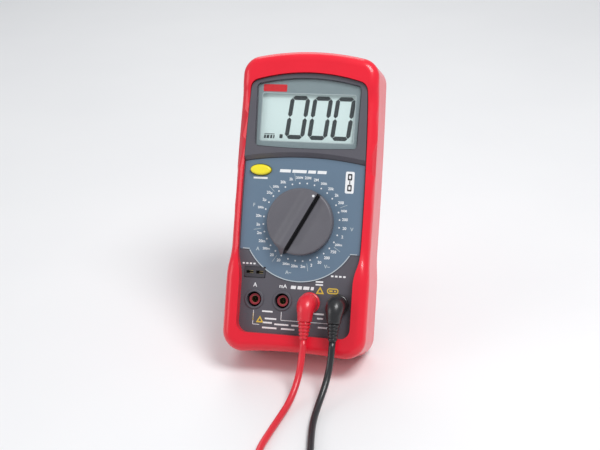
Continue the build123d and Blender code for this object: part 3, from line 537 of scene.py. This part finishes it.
class Print:
    """Ink of one colour: flat shapes a few hundredths thick, in one piece, in case millimetres."""

    def __init__(self, name, material, surface, slot, thickness=0.06):
        self.name, self.material, self.surface = name, material, surface
        self.slot_name, self.thickness = slot, thickness
        self.sheet = bmesh.new()

    def press(self, curve, x, y, turn):
        """Fills a flat curve, thickens it and lays it on the surface."""
        curve.extrude = self.thickness / 2
        carrier = bpy.data.objects.new("ink", curve)
        bpy.context.scene.collection.objects.link(carrier)
        read = bpy.data.meshes.new_from_object(carrier)
        read.transform(Matrix.Translation((x, y, self.surface)) @ Matrix.Rotation(turn, 4, "Z"))
        self.sheet.from_mesh(read)
        bpy.data.objects.remove(carrier)
        bpy.data.curves.remove(curve)
        bpy.data.meshes.remove(read)

    def shape(self, *loops):
        """One shape from its outline and, after it, the outlines of its holes."""
        curve = bpy.data.curves.new("ink", "CURVE")
        curve.dimensions = "2D"
        curve.fill_mode = "BOTH"
        for loop in loops:
            spline = curve.splines.new("POLY")
            spline.points.add(len(loop) - 1)
            for slot, (x, y) in zip(spline.points, loop):
                slot.co = (x, y, 0, 1)
            spline.use_cyclic_u = True
        self.press(curve, 0, 0, 0)

    def bar(self, x, y, wide, high, slant=0.0):
        """A bar about a centre, with its top leaning over by slant times its height."""
        lean = slant * high / 2
        self.shape([
            (x - wide / 2 - lean, y - high / 2), (x + wide / 2 - lean, y - high / 2),
            (x + wide / 2 + lean, y + high / 2), (x - wide / 2 + lean, y + high / 2),
        ])

    def sweep(self, centre, radius, start, end, width, steps=24):
        """A stretch of a ring, with angles in degrees."""
        angles = [math.radians(start + (end - start) * i / steps) for i in range(steps + 1)]
        outer = [(radius + width / 2, a) for a in angles]
        inner = [(radius - width / 2, a) for a in reversed(angles)]
        self.shape([(centre[0] + r * math.cos(a), centre[1] + r * math.sin(a)) for r, a in outer + inner])

    def words(self, text, x, y, size, turn=0.0):
        """Numerals or unit letters centred on a point."""
        curve = bpy.data.curves.new("ink", "FONT")
        curve.body = text
        curve.size = size
        curve.offset = BOLD
        curve.align_x = "CENTER"
        curve.align_y = "CENTER"
        curve.resolution_u = 3
        self.press(curve, x, y, turn)

    def done(self, body="root"):
        data = bpy.data.meshes.new(self.name)
        bmesh.ops.remove_doubles(self.sheet, verts=self.sheet.verts, dist=0.0005)
        self.sheet.to_mesh(data)
        self.sheet.free()
        data.transform(CASE)
        data.materials.append(self.material)
        piece = bpy.data.objects.new(self.name, data)
        bpy.context.scene.collection.objects.link(piece)
        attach(piece, body)
        return piece


def ink(name, colour, roughness=0.45):
    """Screen-printed ink: slightly uneven in colour, with a faint tooth."""
    layer = Surface(name)
    layer.feed(
        layer.shader.inputs["Base Color"],
        layer.tint(layer.noise(700, 3), shade(colour, 0.9), shade(colour, 1.06)),
    )
    layer.feed(layer.shader.inputs["Roughness"], layer.noise(500, 3) * 0.1 + (roughness - 0.05))
    layer.bump(layer.noise(4000, 2), 0.000008)
    return layer.material


def rounded(left, low, right, high, radius, steps=6):
    """Outline of a rectangle with round corners."""
    corners = [
        (right - radius, high - radius, 0), (left + radius, high - radius, 90),
        (left + radius, low + radius, 180), (right - radius, low + radius, 270),
    ]
    outline = []
    for x, y, first in corners:
        for step in range(steps + 1):
            angle = math.radians(first + 90 * step / steps)
            outline.append((x + radius * math.cos(angle), y + radius * math.sin(angle)))
    return outline


def bowed(left, right, start, sag, steps=16):
    """Points of a shallow arch from left to right, each an (x, y) pair."""
    return [
        (left + (right - left) * i / steps, start + sag * (1 - (2 * i / steps - 1) ** 2))
        for i in range(steps + 1)
    ]


# The cell's pale colour also feeds a faint emission: painted light that makes up for the lens dimming the
# cell.
cell = Surface("lcd_cell", coat_weight=0.3, coat_roughness=0.05, roughness=0.35, emission_strength=0.06)
cell_colour_and_glow = cell.tint(cell.noise(25, 2), (0.66, 0.82, 0.80), (0.76, 0.90, 0.88))
cell.feed(cell.shader.inputs["Base Color"], cell_colour_and_glow)
cell.feed(cell.shader.inputs["Emission Color"], cell_colour_and_glow)
cell.bump(cell.noise(3000, 2), 0.000004)
finish_node("lcd_glass", cell.material)

lens = Surface(
    "clear_window", base_color=(0.30, 0.36, 0.38), coat_weight=0.5, coat_roughness=0.03, alpha=0.07,
)
lens.feed(lens.shader.inputs["Roughness"], lens.noise(150, 5) * 0.06 + 0.03)
lens.bump(lens.noise(60, 2), 0.00002)
finish_node("lcd_window", lens.material)

border = Print("lens_border", ink("border_ink", (0.225, 0.285, 0.300), 0.3), LENS_BACK + 0.08, "panel_print")
lens_outline = bowed(-30.2, 30.2, 122.4, -0.9) + bowed(30.9, -30.9, 158.4, 4.0)
border.shape(lens_outline, rounded(*LIT_AREA, 1.0))
border.done()
rim_line = Print("lens_rim", ink("rim_ink", (0.42, 0.50, 0.51), 0.3), LENS_BACK + 0.16, "panel_print")
rim_line.shape(rounded(-28.5, 124.9, 28.5, 154.1, 1.3), rounded(*LIT_AREA, 1.0))
rim_line.done()
badge = Print("red_bar", ink("red_ink", (0.66, 0.004, 0.012), 0.3), LENS_BACK + 0.16, "panel_print")
badge.shape(rounded(-28.0, 154.7, -13.6, 159.0, 0.6))
badge.done()

DIGIT_HIGH = 23.4
DIGIT_WIDE = 9.4
STROKE = 2.5
GAP = 0.16          # between neighbouring bars of a digit
SLANT = 0.10
DIGITS_LOW = 128.2
DIGIT_LEFTS = (-12.6, 1.2, 15.0)
segments = Print("lcd_segments", ink("lcd_dark", (0.006, 0.009, 0.010), 0.6), CELL_FACE + 0.05, "lcd")


def segment(left, x0, y0, x1, y1):
    """One pointed bar of a digit, between two corners of its frame, leaning with the digit."""
    along = Vector((x1 - x0, y1 - y0)).normalized()
    across = Vector((-along.y, along.x)) * STROKE / 2
    first = Vector((x0, y0)) + along * GAP
    last = Vector((x1, y1)) - along * GAP
    outline = [
        first, first + along * STROKE / 2 - across, last - along * STROKE / 2 - across,
        last, last - along * STROKE / 2 + across, first + along * STROKE / 2 + across,
    ]
    segments.shape([(left + p.x + SLANT * p.y, DIGITS_LOW + p.y) for p in outline])


middle = DIGIT_HIGH / 2
for left in DIGIT_LEFTS:
    for corners in (
        (0, 0, DIGIT_WIDE, 0), (0, DIGIT_HIGH, DIGIT_WIDE, DIGIT_HIGH),
        (0, 0, 0, middle), (0, middle, 0, DIGIT_HIGH),
        (DIGIT_WIDE, 0, DIGIT_WIDE, middle), (DIGIT_WIDE, middle, DIGIT_WIDE, DIGIT_HIGH),
    ):
        segment(left, *corners)
segments.shape(rounded(-17.0, DIGITS_LOW - 1.0, -15.0, DIGITS_LOW + 1.4, 0.5))
for x, wide in ((-25.8, 1.2), (-24.0, 1.6), (-22.0, 1.2), (-20.4, 0.8)):
    segments.bar(x, DIGITS_LOW - 0.2, wide, 2.0, slant=0.1)
segments.bar(-23.2, DIGITS_LOW + 1.4, 6.2, 0.4)
segments.done()

# ---- Face film and its print ---------------------------------------------------------------
# A steel-blue film glued to the face, cut in an arc round the dial. White, dark and yellow inks are printed
# on it: a ring of dots and range numerals, unit letters, bars and signs for the button and the sockets.
film = Surface("panel_film")
film.feed(
    film.shader.inputs["Base Color"],
    film.tint(film.noise(30, 3), (0.118, 0.180, 0.252), (0.138, 0.206, 0.284)),
)
film.feed(film.shader.inputs["Roughness"], film.noise(180, 4) * 0.12 + 0.40)
film.bump(film.noise(2800, 2), 0.00002)
finish_node("dial_overlay", film.material)

DIAL = (0.0, 78.0)
FILM_TOP = 30.4
FACE = 30.0
TICK_RING = 23.0
NUMERAL_RING = 26.2
UNIT_RING = 30.6
POSITIONS = 32
FIRST_STOP = 96.0
RANGES = (
    ("Ω", ("200M", "20M", "2M", "200k", "20k", "2k", "200")),
    ("V", ("1000", "200", "20", "2", "200m")),
    ("V~", ("750", "200", "20", "2")),
    ("A~", ("2m", "20m", "200m", "20")),
    ("A", ("20", "200m", "20m", "2m")),
    ("F", ("2n", "20n", "200n", "2µ", "20µ")),
    ("Hz", ("200k", "20k", "2k")),
)
white_ink_and_highlight = ink("white_ink_and_highlight", (0.86, 0.87, 0.88))
pale_ink = ink("pale_ink", (0.52, 0.58, 0.61))
yellow_ink = ink("yellow_ink", (0.72, 0.50, 0.06))
dark_ink = ink("dark_ink", (0.03, 0.03, 0.035))
film_print = Print("film_print", white_ink_and_highlight, FILM_TOP, "panel_print")
pale_print = Print("pale_print", pale_ink, FILM_TOP, "panel_print")


def round_dial(radius, degrees):
    angle = math.radians(degrees)
    return DIAL[0] + radius * math.cos(angle), DIAL[1] + radius * math.sin(angle)


DOT = 0.5
DOT_CORNERS = ((1, 0), (0.7, 0.7), (0, 1), (-0.7, 0.7), (-1, 0), (-0.7, -0.7), (0, -1), (0.7, -0.7))
DIVIDER_START = 24.6
DIVIDER_END = 29.2
DIVIDER_HALF = 0.12
FILM_ARC = 35.1
FILM_STEP = (32.4, 60.75)
UNITS_BELOW = 102
UNITS_WITHIN = 33
stop = 0
for unit, numerals in RANGES:
    first = FIRST_STOP - 360 * (stop - 0.5) / POSITIONS
    for numeral in numerals:
        degrees = FIRST_STOP - 360 * stop / POSITIONS
        x, y = round_dial(TICK_RING, degrees)
        film_print.shape([(x + dx * DOT, y + dy * DOT) for dx, dy in DOT_CORNERS])
        film_print.words(numeral, *round_dial(NUMERAL_RING, degrees), 2.3 if len(numeral) < 4 else 1.9)
        stop += 1
    last = FIRST_STOP - 360 * (stop - 0.5) / POSITIONS
    x, y = round_dial(UNIT_RING, (first + last) / 2)
    # unit letters only where the film has room for them
    if y < UNITS_BELOW and abs(x) < UNITS_WITHIN:
        pale_print.words(unit, x, y, 2.9)
    start_line, end_line = round_dial(DIVIDER_START, last), round_dial(DIVIDER_END, last)
    along = (Vector(end_line) - Vector(start_line)).normalized()
    off = Vector((-along.y, along.x)) * DIVIDER_HALF
    pale_print.shape([
        tuple(Vector(start_line) - off), tuple(Vector(end_line) - off),
        tuple(Vector(end_line) + off), tuple(Vector(start_line) + off),
    ])
pale_print.sweep(DIAL, FILM_ARC, 211, 329, 0.5, steps=40)
for side in (-1, 1):
    pale_print.bar(side * FILM_STEP[0], FILM_STEP[1], 4.2, 0.45)
pale_print.done()

film_print.bar(-26.5, 103.0, 8.6, 1.1)
for x, wide in ((-11.6, 6.6), (-3.0, 8.6), (4.6, 4.6), (10.6, 5.4)):
    film_print.bar(x, 107.8, wide, 1.8, slant=0.15)
film_print.shape(rounded(24.9, 96.2, 30.1, 109.0, 0.8))
film_print.done()
sign_marks = Print("sign_marks", dark_ink, FILM_TOP + 0.06, "panel_print")
for y in (99.4, 105.8):
    sign_marks.shape(rounded(26.2, y - 1.9, 28.8, y + 1.9, 0.5), rounded(26.9, y - 1.0, 28.1, y + 1.0, 0.3))
sign_marks.bar(27.5, 102.6, 0.5, 2.2)
sign_marks.done()

face_print = Print("socket_print", white_ink_and_highlight, FACE, "panel_print")
face_print.words("A", -25.5, 39.4, 3.4)
face_print.words("mA", -8.5, 39.6, 3.2)
for x, wide in ((-2.2, 3.0), (1.6, 2.6), (5.6, 3.6), (9.2, 1.8)):
    face_print.bar(x, 39.4, wide, 1.9, slant=0.12)
for y in (43.6, 41.9):
    face_print.bar(13.2, y, 4.4, 0.9)
for x in (20.6, 23.0, 25.4, 27.8):
    face_print.bar(x, 47.4, 1.5, 1.0)
for x in (-33.4, -31.2, -29.0, -26.8):
    face_print.bar(x, 51.9, 1.3, 0.9)
BRACKET = 0.32      # width of the thin lines that join the sockets
for x in (-25.5, -8.5, 8.5):
    face_print.bar(x, 22.0, BRACKET, 5.0)
face_print.bar(-17.0, 24.2, 6.4, 0.9)
face_print.bar(-25.5 + 2.0, 16.2, 4.0, BRACKET)
face_print.bar(-25.5, 18.4, BRACKET, 4.6)
face_print.bar(0.0, 19.6, 17.0, BRACKET)
face_print.bar(14.6, 19.6, 12.6, BRACKET)
for x, y, wide in (
    (-14.8, 20.0, 7.0), (-16.6, 17.6, 5.6), (-8.0, 17.0, 8.6), (2.4, 17.0, 8.8),
    (-15.2, 14.6, 8.8), (-4.0, 14.6, 8.2), (14.0, 24.8, 6.4), (15.0, 22.2, 3.6), (17.2, 17.0, 6.4),
):
    face_print.bar(x, y, wide, 0.95)
face_print.done()
caution = Print("caution_print", yellow_ink, FACE, "panel_print")
caution.shape([(11.4, 36.6), (16.4, 36.6), (13.9, 41.0)], [(12.7, 37.4), (15.1, 37.4), (13.9, 39.5)])
caution.shape(rounded(18.0, 37.0, 24.9, 40.4, 1.6), rounded(18.7, 37.7, 24.2, 39.7, 0.9))
caution.bar(20.4, 38.7, 2.0, 0.9)
caution.bar(22.9, 38.7, 1.2, 0.9)
caution.shape([(-23.6, 17.4), (-19.0, 17.4), (-21.3, 21.4)], [(-22.3, 18.2), (-20.3, 18.2), (-21.3, 20.0)])
caution.bar(-25.5, 20.6, 0.5, 4.2)
caution.done()

# ---- Power button -----------------------------------------------------------------------
# An oval cap of glossy yellow ABS on the plunger of a latching switch. A spring of thin steel wire stands
# between the switch and the cap's skirt, and the cap presses it flat.
finish_node("power_button", moulded("button_yellow", (0.90, 0.76, 0.025), 0.30, grain=0.000008, coat=0.35))

SPRING_CENTRE = (-26.5, 107.8)
SPRING_RADIUS = 2.75
SPRING_LOW = 22.25
SPRING_HIGH = 25.6
WIRE_RADIUS = 0.00022           # metres
SPRING_TURNS = 3
SPRING_STEPS = 24
wire = []
for step in range(SPRING_TURNS * SPRING_STEPS + 1):
    angle = math.tau * step / SPRING_STEPS
    wire.append(CASE @ Vector((
        SPRING_CENTRE[0] + SPRING_RADIUS * math.cos(angle),
        SPRING_CENTRE[1] + SPRING_RADIUS * math.sin(angle),
        SPRING_LOW + (SPRING_HIGH - SPRING_LOW) * step / (SPRING_TURNS * SPRING_STEPS),
    )))
spring = tube("button_spring", wire, WIRE_RADIUS, 8, spring_steel)
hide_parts("switch_spring")
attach(spring, "root")
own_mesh(spring)

# ---- Range knob ---------------------------------------------------------------------------
# A moulded disc with a grip blade across it that runs out into a pointer. One flank of the blade is steep,
# the other slopes. A square shaft under its hub turns the rotor with the wipers and the click balls.
KNOB_RADIUS = 19.75
KNOB_LOW = 31.0
KNOB_DISC = 36.2
KNOB_TOP = 38.9
POINTER = math.radians(-118.0)
NIB = 22.5
BLADE = 1.3
EDGE_ROUND = 1.3
STEEP_FLANK = 0.5
GENTLE_FLANK = 7.5
ROWS = 72
COLUMNS = 56
HUB = {"radius": 7.6, "depth": 7.2, "middle": 27.6}
GROOVE_SHADE = (0.00125, 0.0029)      # edges of the painted shade band in the groove, in metres from the middle of the blade
HIGHLIGHT_DOT_AT = -17.2                 # the painted highlight, a white dot along the blade
SHAFT = {"radius": 4.9, "depth": 5.2, "middle": 21.6}       # a square, measured to its corners


def smooth(value, low, high):
    """0 below low and 1 above high, with a soft step between."""
    t = min(1.0, max(0.0, (value - low) / (high - low)))
    return t * t * (3 - 2 * t)


def knob_height(along, off):
    """Height of the knob's top at a place measured along the blade and off it."""
    inside = KNOB_RADIUS - math.hypot(along, off)
    height = KNOB_DISC
    # a shallow scoop for the fingers beside the steep flank
    height -= 0.8 * math.exp(-((off - 6.0) / 3.4) ** 2) * smooth(inside, 0.5, 6.0)
    # a narrow groove at the foot of the steep flank
    height -= 1.2 * math.exp(-((off - 2.3) / 0.55) ** 2) * smooth(inside, 0.2, 1.6)
    if inside < EDGE_ROUND:
        drop = EDGE_ROUND - max(inside, 0.0)
        height -= EDGE_ROUND - math.sqrt(max(0.0, EDGE_ROUND ** 2 - drop ** 2))
    flank = STEEP_FLANK if off > 0 else GENTLE_FLANK
    blade = 1.0 - smooth(abs(off), BLADE, BLADE + flank)
    crest = KNOB_TOP - 0.5 * smooth(-along, 14.0, 19.6) - 4.2 * smooth(along, 17.0, NIB)
    return height + (crest - height) * blade


knob_mesh = bmesh.new()
aim = Vector((math.cos(POINTER), math.sin(POINTER), 0))
aside = Vector((-aim.y, aim.x, 0))
blade_rows = [-2.6, -1.9, -1.3, -0.7, 0.0, 0.7, 1.1, 1.3, 1.4, 1.55, 1.7, 1.8, 2.05, 2.3, 2.55]
spread = [math.sin(math.pi / 2 * (i / (ROWS / 2) - 1)) * (KNOB_RADIUS - 0.002) for i in range(ROWS + 1)]
rows = sorted([v for v in spread if abs(v) > 2.8] + blade_rows)
grid = []
for off in rows:
    half = math.sqrt(max(0.0, KNOB_RADIUS ** 2 - off ** 2))
    front = half
    if abs(off) < 2.6:
        front = NIB - abs(off) / 2.6 * (NIB - half)
    line = []
    for column in range(COLUMNS + 1):
        share = math.sin(math.pi / 2 * (2 * column / COLUMNS - 1))
        along = share * (front if share > 0 else half)
        place = aim * along + aside * off
        height = knob_height(along, off)
        line.append(knob_mesh.verts.new((DIAL[0] + place.x, DIAL[1] + place.y, height)))
    grid.append(line)
for low_row, high_row in zip(grid, grid[1:]):
    for column in range(COLUMNS):
        knob_mesh.faces.new((low_row[column], low_row[column + 1], high_row[column + 1], high_row[column]))
boundary = grid[0] + [row[-1] for row in grid[1:-1]] + grid[-1][::-1] + [row[0] for row in grid[-2:0:-1]]
skirt = [knob_mesh.verts.new((v.co.x, v.co.y, KNOB_LOW)) for v in boundary]
for index in range(len(boundary)):
    after = (index + 1) % len(boundary)
    knob_mesh.faces.new((boundary[index], skirt[index], skirt[after], boundary[after]))
knob_mesh.faces.new(skirt)
for post, sides, quarter in ((HUB, 48, 0), (SHAFT, 4, math.pi / 4)):
    bmesh.ops.create_cone(
        knob_mesh, cap_ends=True, segments=sides,
        radius1=post["radius"], radius2=post["radius"], depth=post["depth"],
        matrix=Matrix.Translation((*DIAL, post["middle"])) @ Matrix.Rotation(quarter, 4, "Z"),
    )
bmesh.ops.remove_doubles(knob_mesh, verts=knob_mesh.verts, dist=0.004)
bmesh.ops.recalc_face_normals(knob_mesh, faces=knob_mesh.faces)
knob_data = bpy.data.meshes.new("range_knob_shell")
knob_mesh.to_mesh(knob_data)
knob_mesh.free()
knob_data.transform(CASE)
KNOB_GREY = (0.128, 0.124, 0.142)
knob_finish = Surface("knob_plastic")
groove_way = ACROSS * aside.x + UP * aside.y
from_blade = knob_finish.node("VectorMath", {"operation": "DOT_PRODUCT"}, {
    0: knob_finish.node("TexCoord", output=3), 1: tuple(groove_way),
}, output=1) - groove_way.dot(CASE @ Vector((*DIAL, 0)))
# painted shade: a near-black band along the groove at the foot of the steep flank, where the blade's shadow
# falls
painted_groove_shade = (from_blade > GROOVE_SHADE[0]) * (1 - (from_blade > GROOVE_SHADE[1]))
mottled = knob_finish.tint(knob_finish.noise(55, 4), shade(KNOB_GREY, 0.88), shade(KNOB_GREY, 1.1))
painted_shade_black = (0.012, 0.012, 0.014, 1)
knob_finish.feed(
    knob_finish.shader.inputs["Base Color"],
    knob_finish.node("Mix", {"data_type": "RGBA"}, {0: painted_groove_shade, 6: mottled, 7: painted_shade_black}, output=2),
)
knob_finish.feed(knob_finish.shader.inputs["Roughness"], knob_finish.noise(160, 5) * 0.16 + 0.36)
knob_finish.bump(knob_finish.noise(3000, 2), 0.00002)
knob = add_mesh("range_knob_shell", knob_data, knob_finish.material)
knob_data.set_sharp_from_angle(angle=math.radians(38))
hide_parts("range_knob")
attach(knob, "knob")
# painted highlight: a white dot near the blade's far end that stands for a glint of light, not for a mark on
# the knob
knob_highlight_dot = Print("knob_highlight_dot", white_ink_and_highlight, KNOB_TOP - 0.28, "knob_plastic", thickness=0.3)
highlight_spot = aim * HIGHLIGHT_DOT_AT
HIGHLIGHT_DOT_RADIUS = 0.75
HIGHLIGHT_DOT_CORNERS = 12
knob_highlight_dot.shape([
    (
        DIAL[0] + highlight_spot.x + HIGHLIGHT_DOT_RADIUS * math.cos(math.tau * i / HIGHLIGHT_DOT_CORNERS),
        DIAL[1] + highlight_spot.y + HIGHLIGHT_DOT_RADIUS * math.sin(math.tau * i / HIGHLIGHT_DOT_CORNERS),
    )
    for i in range(HIGHLIGHT_DOT_CORNERS)
])
knob_highlight_dot.done("knob")
finish_node("wiper_contacts", metal("wiper_brass", (0.74, 0.55, 0.24), 0.28))

# ---- Input sockets --------------------------------------------------------------------------
# Four 4 mm sockets of plated brass. Each stands in an insulating collar inside a deep well of the front case,
# red for the three inputs and black for the common one.
plated_brass = metal("plated_brass", (0.80, 0.63, 0.36), 0.24, grain=(4, 4, 4))
for node in ("input_sockets", "socket_contacts", "red_plug_pin", "black_plug_pin"):
    finish_node(node, plated_brass)
finish_node("red_socket_collars", moulded("red_collar", (0.36, 0.030, 0.045), 0.38, grain=0.00001))
finish_node("black_socket_collar", soft_finish["black"])


def turned(profile, place, sides=32):
    """Mesh geometry of a turned piece: (distance along X, radius) pairs, closed at both ends."""
    made = bmesh.new()
    rings = []
    for along, radius in profile:
        rings.append([
            made.verts.new(place @ Vector((
                along, radius * math.cos(math.tau * i / sides), radius * math.sin(math.tau * i / sides),
            ))) for i in range(sides)
        ])
    for low, high in zip(rings, rings[1:]):
        for i in range(sides):
            after = (i + 1) % sides
            made.faces.new((low[i], low[after], high[after], high[i]))
    made.faces.new(rings[0])
    made.faces.new(rings[-1])
    bmesh.ops.recalc_face_normals(made, faces=made.faces)
    return made


def piece_of(name, parts, material):
    """Joins geometry made in millimetres into one piece with smooth sides and crisp corners."""
    data = bpy.data.meshes.new(name)
    whole = bmesh.new()
    for part in parts:
        scrap = bpy.data.meshes.new("scrap")
        part.to_mesh(scrap)
        part.free()
        whole.from_mesh(scrap)
        bpy.data.meshes.remove(scrap)
    whole.to_mesh(data)
    whole.free()
    piece = add_mesh(name, data, material)
    data.set_sharp_from_angle(angle=math.radians(35))
    return piece


# ---- Plugs --------------------------------------------------------------------------------
# Each lead ends in a right-angled plug: soft plastic moulded round a sprung pin, a shroud that slides into
# the well, a domed elbow, and a ribbed sleeve that lets the lead bend without breaking.
SOCKET_ROW = 31.0
HEAD_LOW = 31.2
ARM_HEIGHT = 42.0
ELBOW = 6.2
RELIEF_START = 20.5
RELIEF_END = 10.0
for colour, lead in LEADS.items():
    x = lead["socket"] * 1000
    path, radii = [], []
    for height, radius in (
        (HEAD_LOW, 4.6), (HEAD_LOW + 0.05, 6.0), (HEAD_LOW + 0.5, 6.25), (HEAD_LOW + 1.3, 6.25),
        (HEAD_LOW + 1.7, 5.9), (HEAD_LOW + 1.9, 5.55), (HEAD_LOW + 3.2, 5.6),
    ):
        path.append(Vector((x, SOCKET_ROW, height)))
        radii.append(radius)
    for step in range(11):
        bend = math.pi / 2 * step / 10
        path.append(Vector((
            x, SOCKET_ROW - ELBOW * (1 - math.cos(bend)), ARM_HEIGHT - ELBOW + ELBOW * math.sin(bend),
        )))
        radii.append(5.6 - 1.0 * (step / 10) ** 1.5 + 0.35 * math.sin(bend * 2))
    for y, radius in (
        (23.4, 4.45), (22.2, 4.35), (RELIEF_START + 0.5, 4.3), (RELIEF_START + 0.1, 4.1),
        (RELIEF_START - 0.1, 3.4),
    ):
        path.append(Vector((x, y, ARM_HEIGHT)))
        radii.append(radius)
    ribs = 5
    pitch = (RELIEF_START - 0.4 - RELIEF_END) / ribs
    for rib in range(ribs):
        top = RELIEF_START - 0.4 - rib * pitch
        full = 3.75 - 0.26 * rib
        for share, radius in ((0.0, full - 0.55), (0.08, full - 0.1), (0.2, full), (0.55, full - 0.06),
                              (0.68, full - 0.2), (0.74, full - 0.6), (0.98, full - 0.65)):
            path.append(Vector((x, top - share * pitch, ARM_HEIGHT)))
            radii.append(radius)
    world_path = [CASE @ point for point in path]
    shell = tube(f"{colour}_plug_shell", world_path, [r * 0.001 for r in radii], 36, soft_finish[colour])
    shell.data.set_sharp_from_angle(angle=math.radians(35))
    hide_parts(f"{colour}_plug_body", f"{colour}_plug_relief")
    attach(shell, f"{colour}_plug")

    upright = CASE @ Matrix.Translation((x, SOCKET_ROW, 0)) @ Matrix.Rotation(-math.pi / 2, 4, "Y")
    sleeve = turned([
        (31.4, 3.6), (17.2, 3.6), (16.7, 3.75), (16.6, 3.95), (16.7, 4.1), (17.2, 4.18), (31.4, 4.2),
    ], upright)
    shroud = piece_of(f"{colour}_plug_shroud", [sleeve], soft_finish[colour])
    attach(shroud, f"{colour}_plug")
    lead["plug"] = [shell, shroud, frame["nodes"][f"{colour}_plug_pin"]]

# ---- Probes ---------------------------------------------------------------------------------
# A turned handle with a ribbed grip, a finger guard, a tapered barrel and a plated steel needle. The lead
# leaves its blunt end through a short ribbed sleeve.
PROBES = {
    "red": {"at": (-25.2, -191.4, 13.3), "facing": 0.0, "tilt": 0.0},
    "black": {"at": (47.7, -177.6, 12.05), "facing": math.pi, "tilt": math.radians(2.74)},
}
for colour, probe in PROBES.items():
    place = Matrix.Scale(0.001, 4) @ Matrix.Translation(probe["at"])
    place = place @ Matrix.Rotation(probe["facing"], 4, "Z") @ Matrix.Rotation(-probe["tilt"], 4, "Y")
    sleeve = [(0.0, 2.15)]
    for rib in range(4):
        foot, full = 0.1 + rib * 2.9, 2.6 + 0.28 * rib
        sleeve += [
            (foot, full - 0.4), (foot + 0.3, full), (foot + 1.6, full + 0.05), (foot + 2.0, full - 0.35),
        ]
    sleeve += [(11.8, 3.2), (12.1, 3.2)]
    relief = piece_of(f"{colour}_probe_sleeve", [turned(sleeve, place)], soft_finish[colour])
    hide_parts(f"{colour}_probe_relief")
    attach(relief, "root")

    grip = [(12.0, 3.4), (12.1, 3.9), (12.6, 4.2), (18.0, 4.5)]
    for rib in range(10):
        foot = 20.0 + rib * 2.6
        swell = 4.75 - 0.35 * abs(rib - 3) / 6
        grip += [(foot, swell), (foot + 0.35, swell - 0.45), (foot + 0.95, swell - 0.45), (foot + 1.3, swell)]
    grip += [
        (48.0, 4.3), (56.0, 4.35), (60.4, 4.6), (61.2, 5.2), (61.6, 6.1), (62.2, 6.45), (64.6, 6.5),
        (65.2, 6.2), (65.5, 5.2), (65.7, 3.9), (66.0, 3.6), (78.8, 2.75), (79.6, 2.5), (80.0, 1.5),
    ]
    handle = piece_of(f"{colour}_probe_grip", [turned(grip, place)], soft_finish[colour])
    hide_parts(f"{colour}_probe_handle")
    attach(handle, "root")
    finish_node(f"{colour}_probe_tip", zinc)
    finish_node(f"{colour}_coil_tie", moulded(f"{colour}_tie_plastic", (0.03, 0.03, 0.032), 0.5))
    lead = LEADS[colour]
    lead["pieces"] = lead["plug"] + [
        relief, handle, frame["nodes"][f"{colour}_probe_tip"], frame["nodes"][f"{colour}_coil_tie"],
    ]

# ---- Tilt stand --------------------------------------------------------------------------
# A flat leg of the same red as the holster, in hard plastic. It snaps onto two pins in the window of the
# holster's back, and folds flush with it.
stand_finish = moulded("stand_plastic", (0.62, 0.012, 0.030), 0.34, grain=0.00002, coat=0.2)
finish_node("tilt_stand", stand_finish)
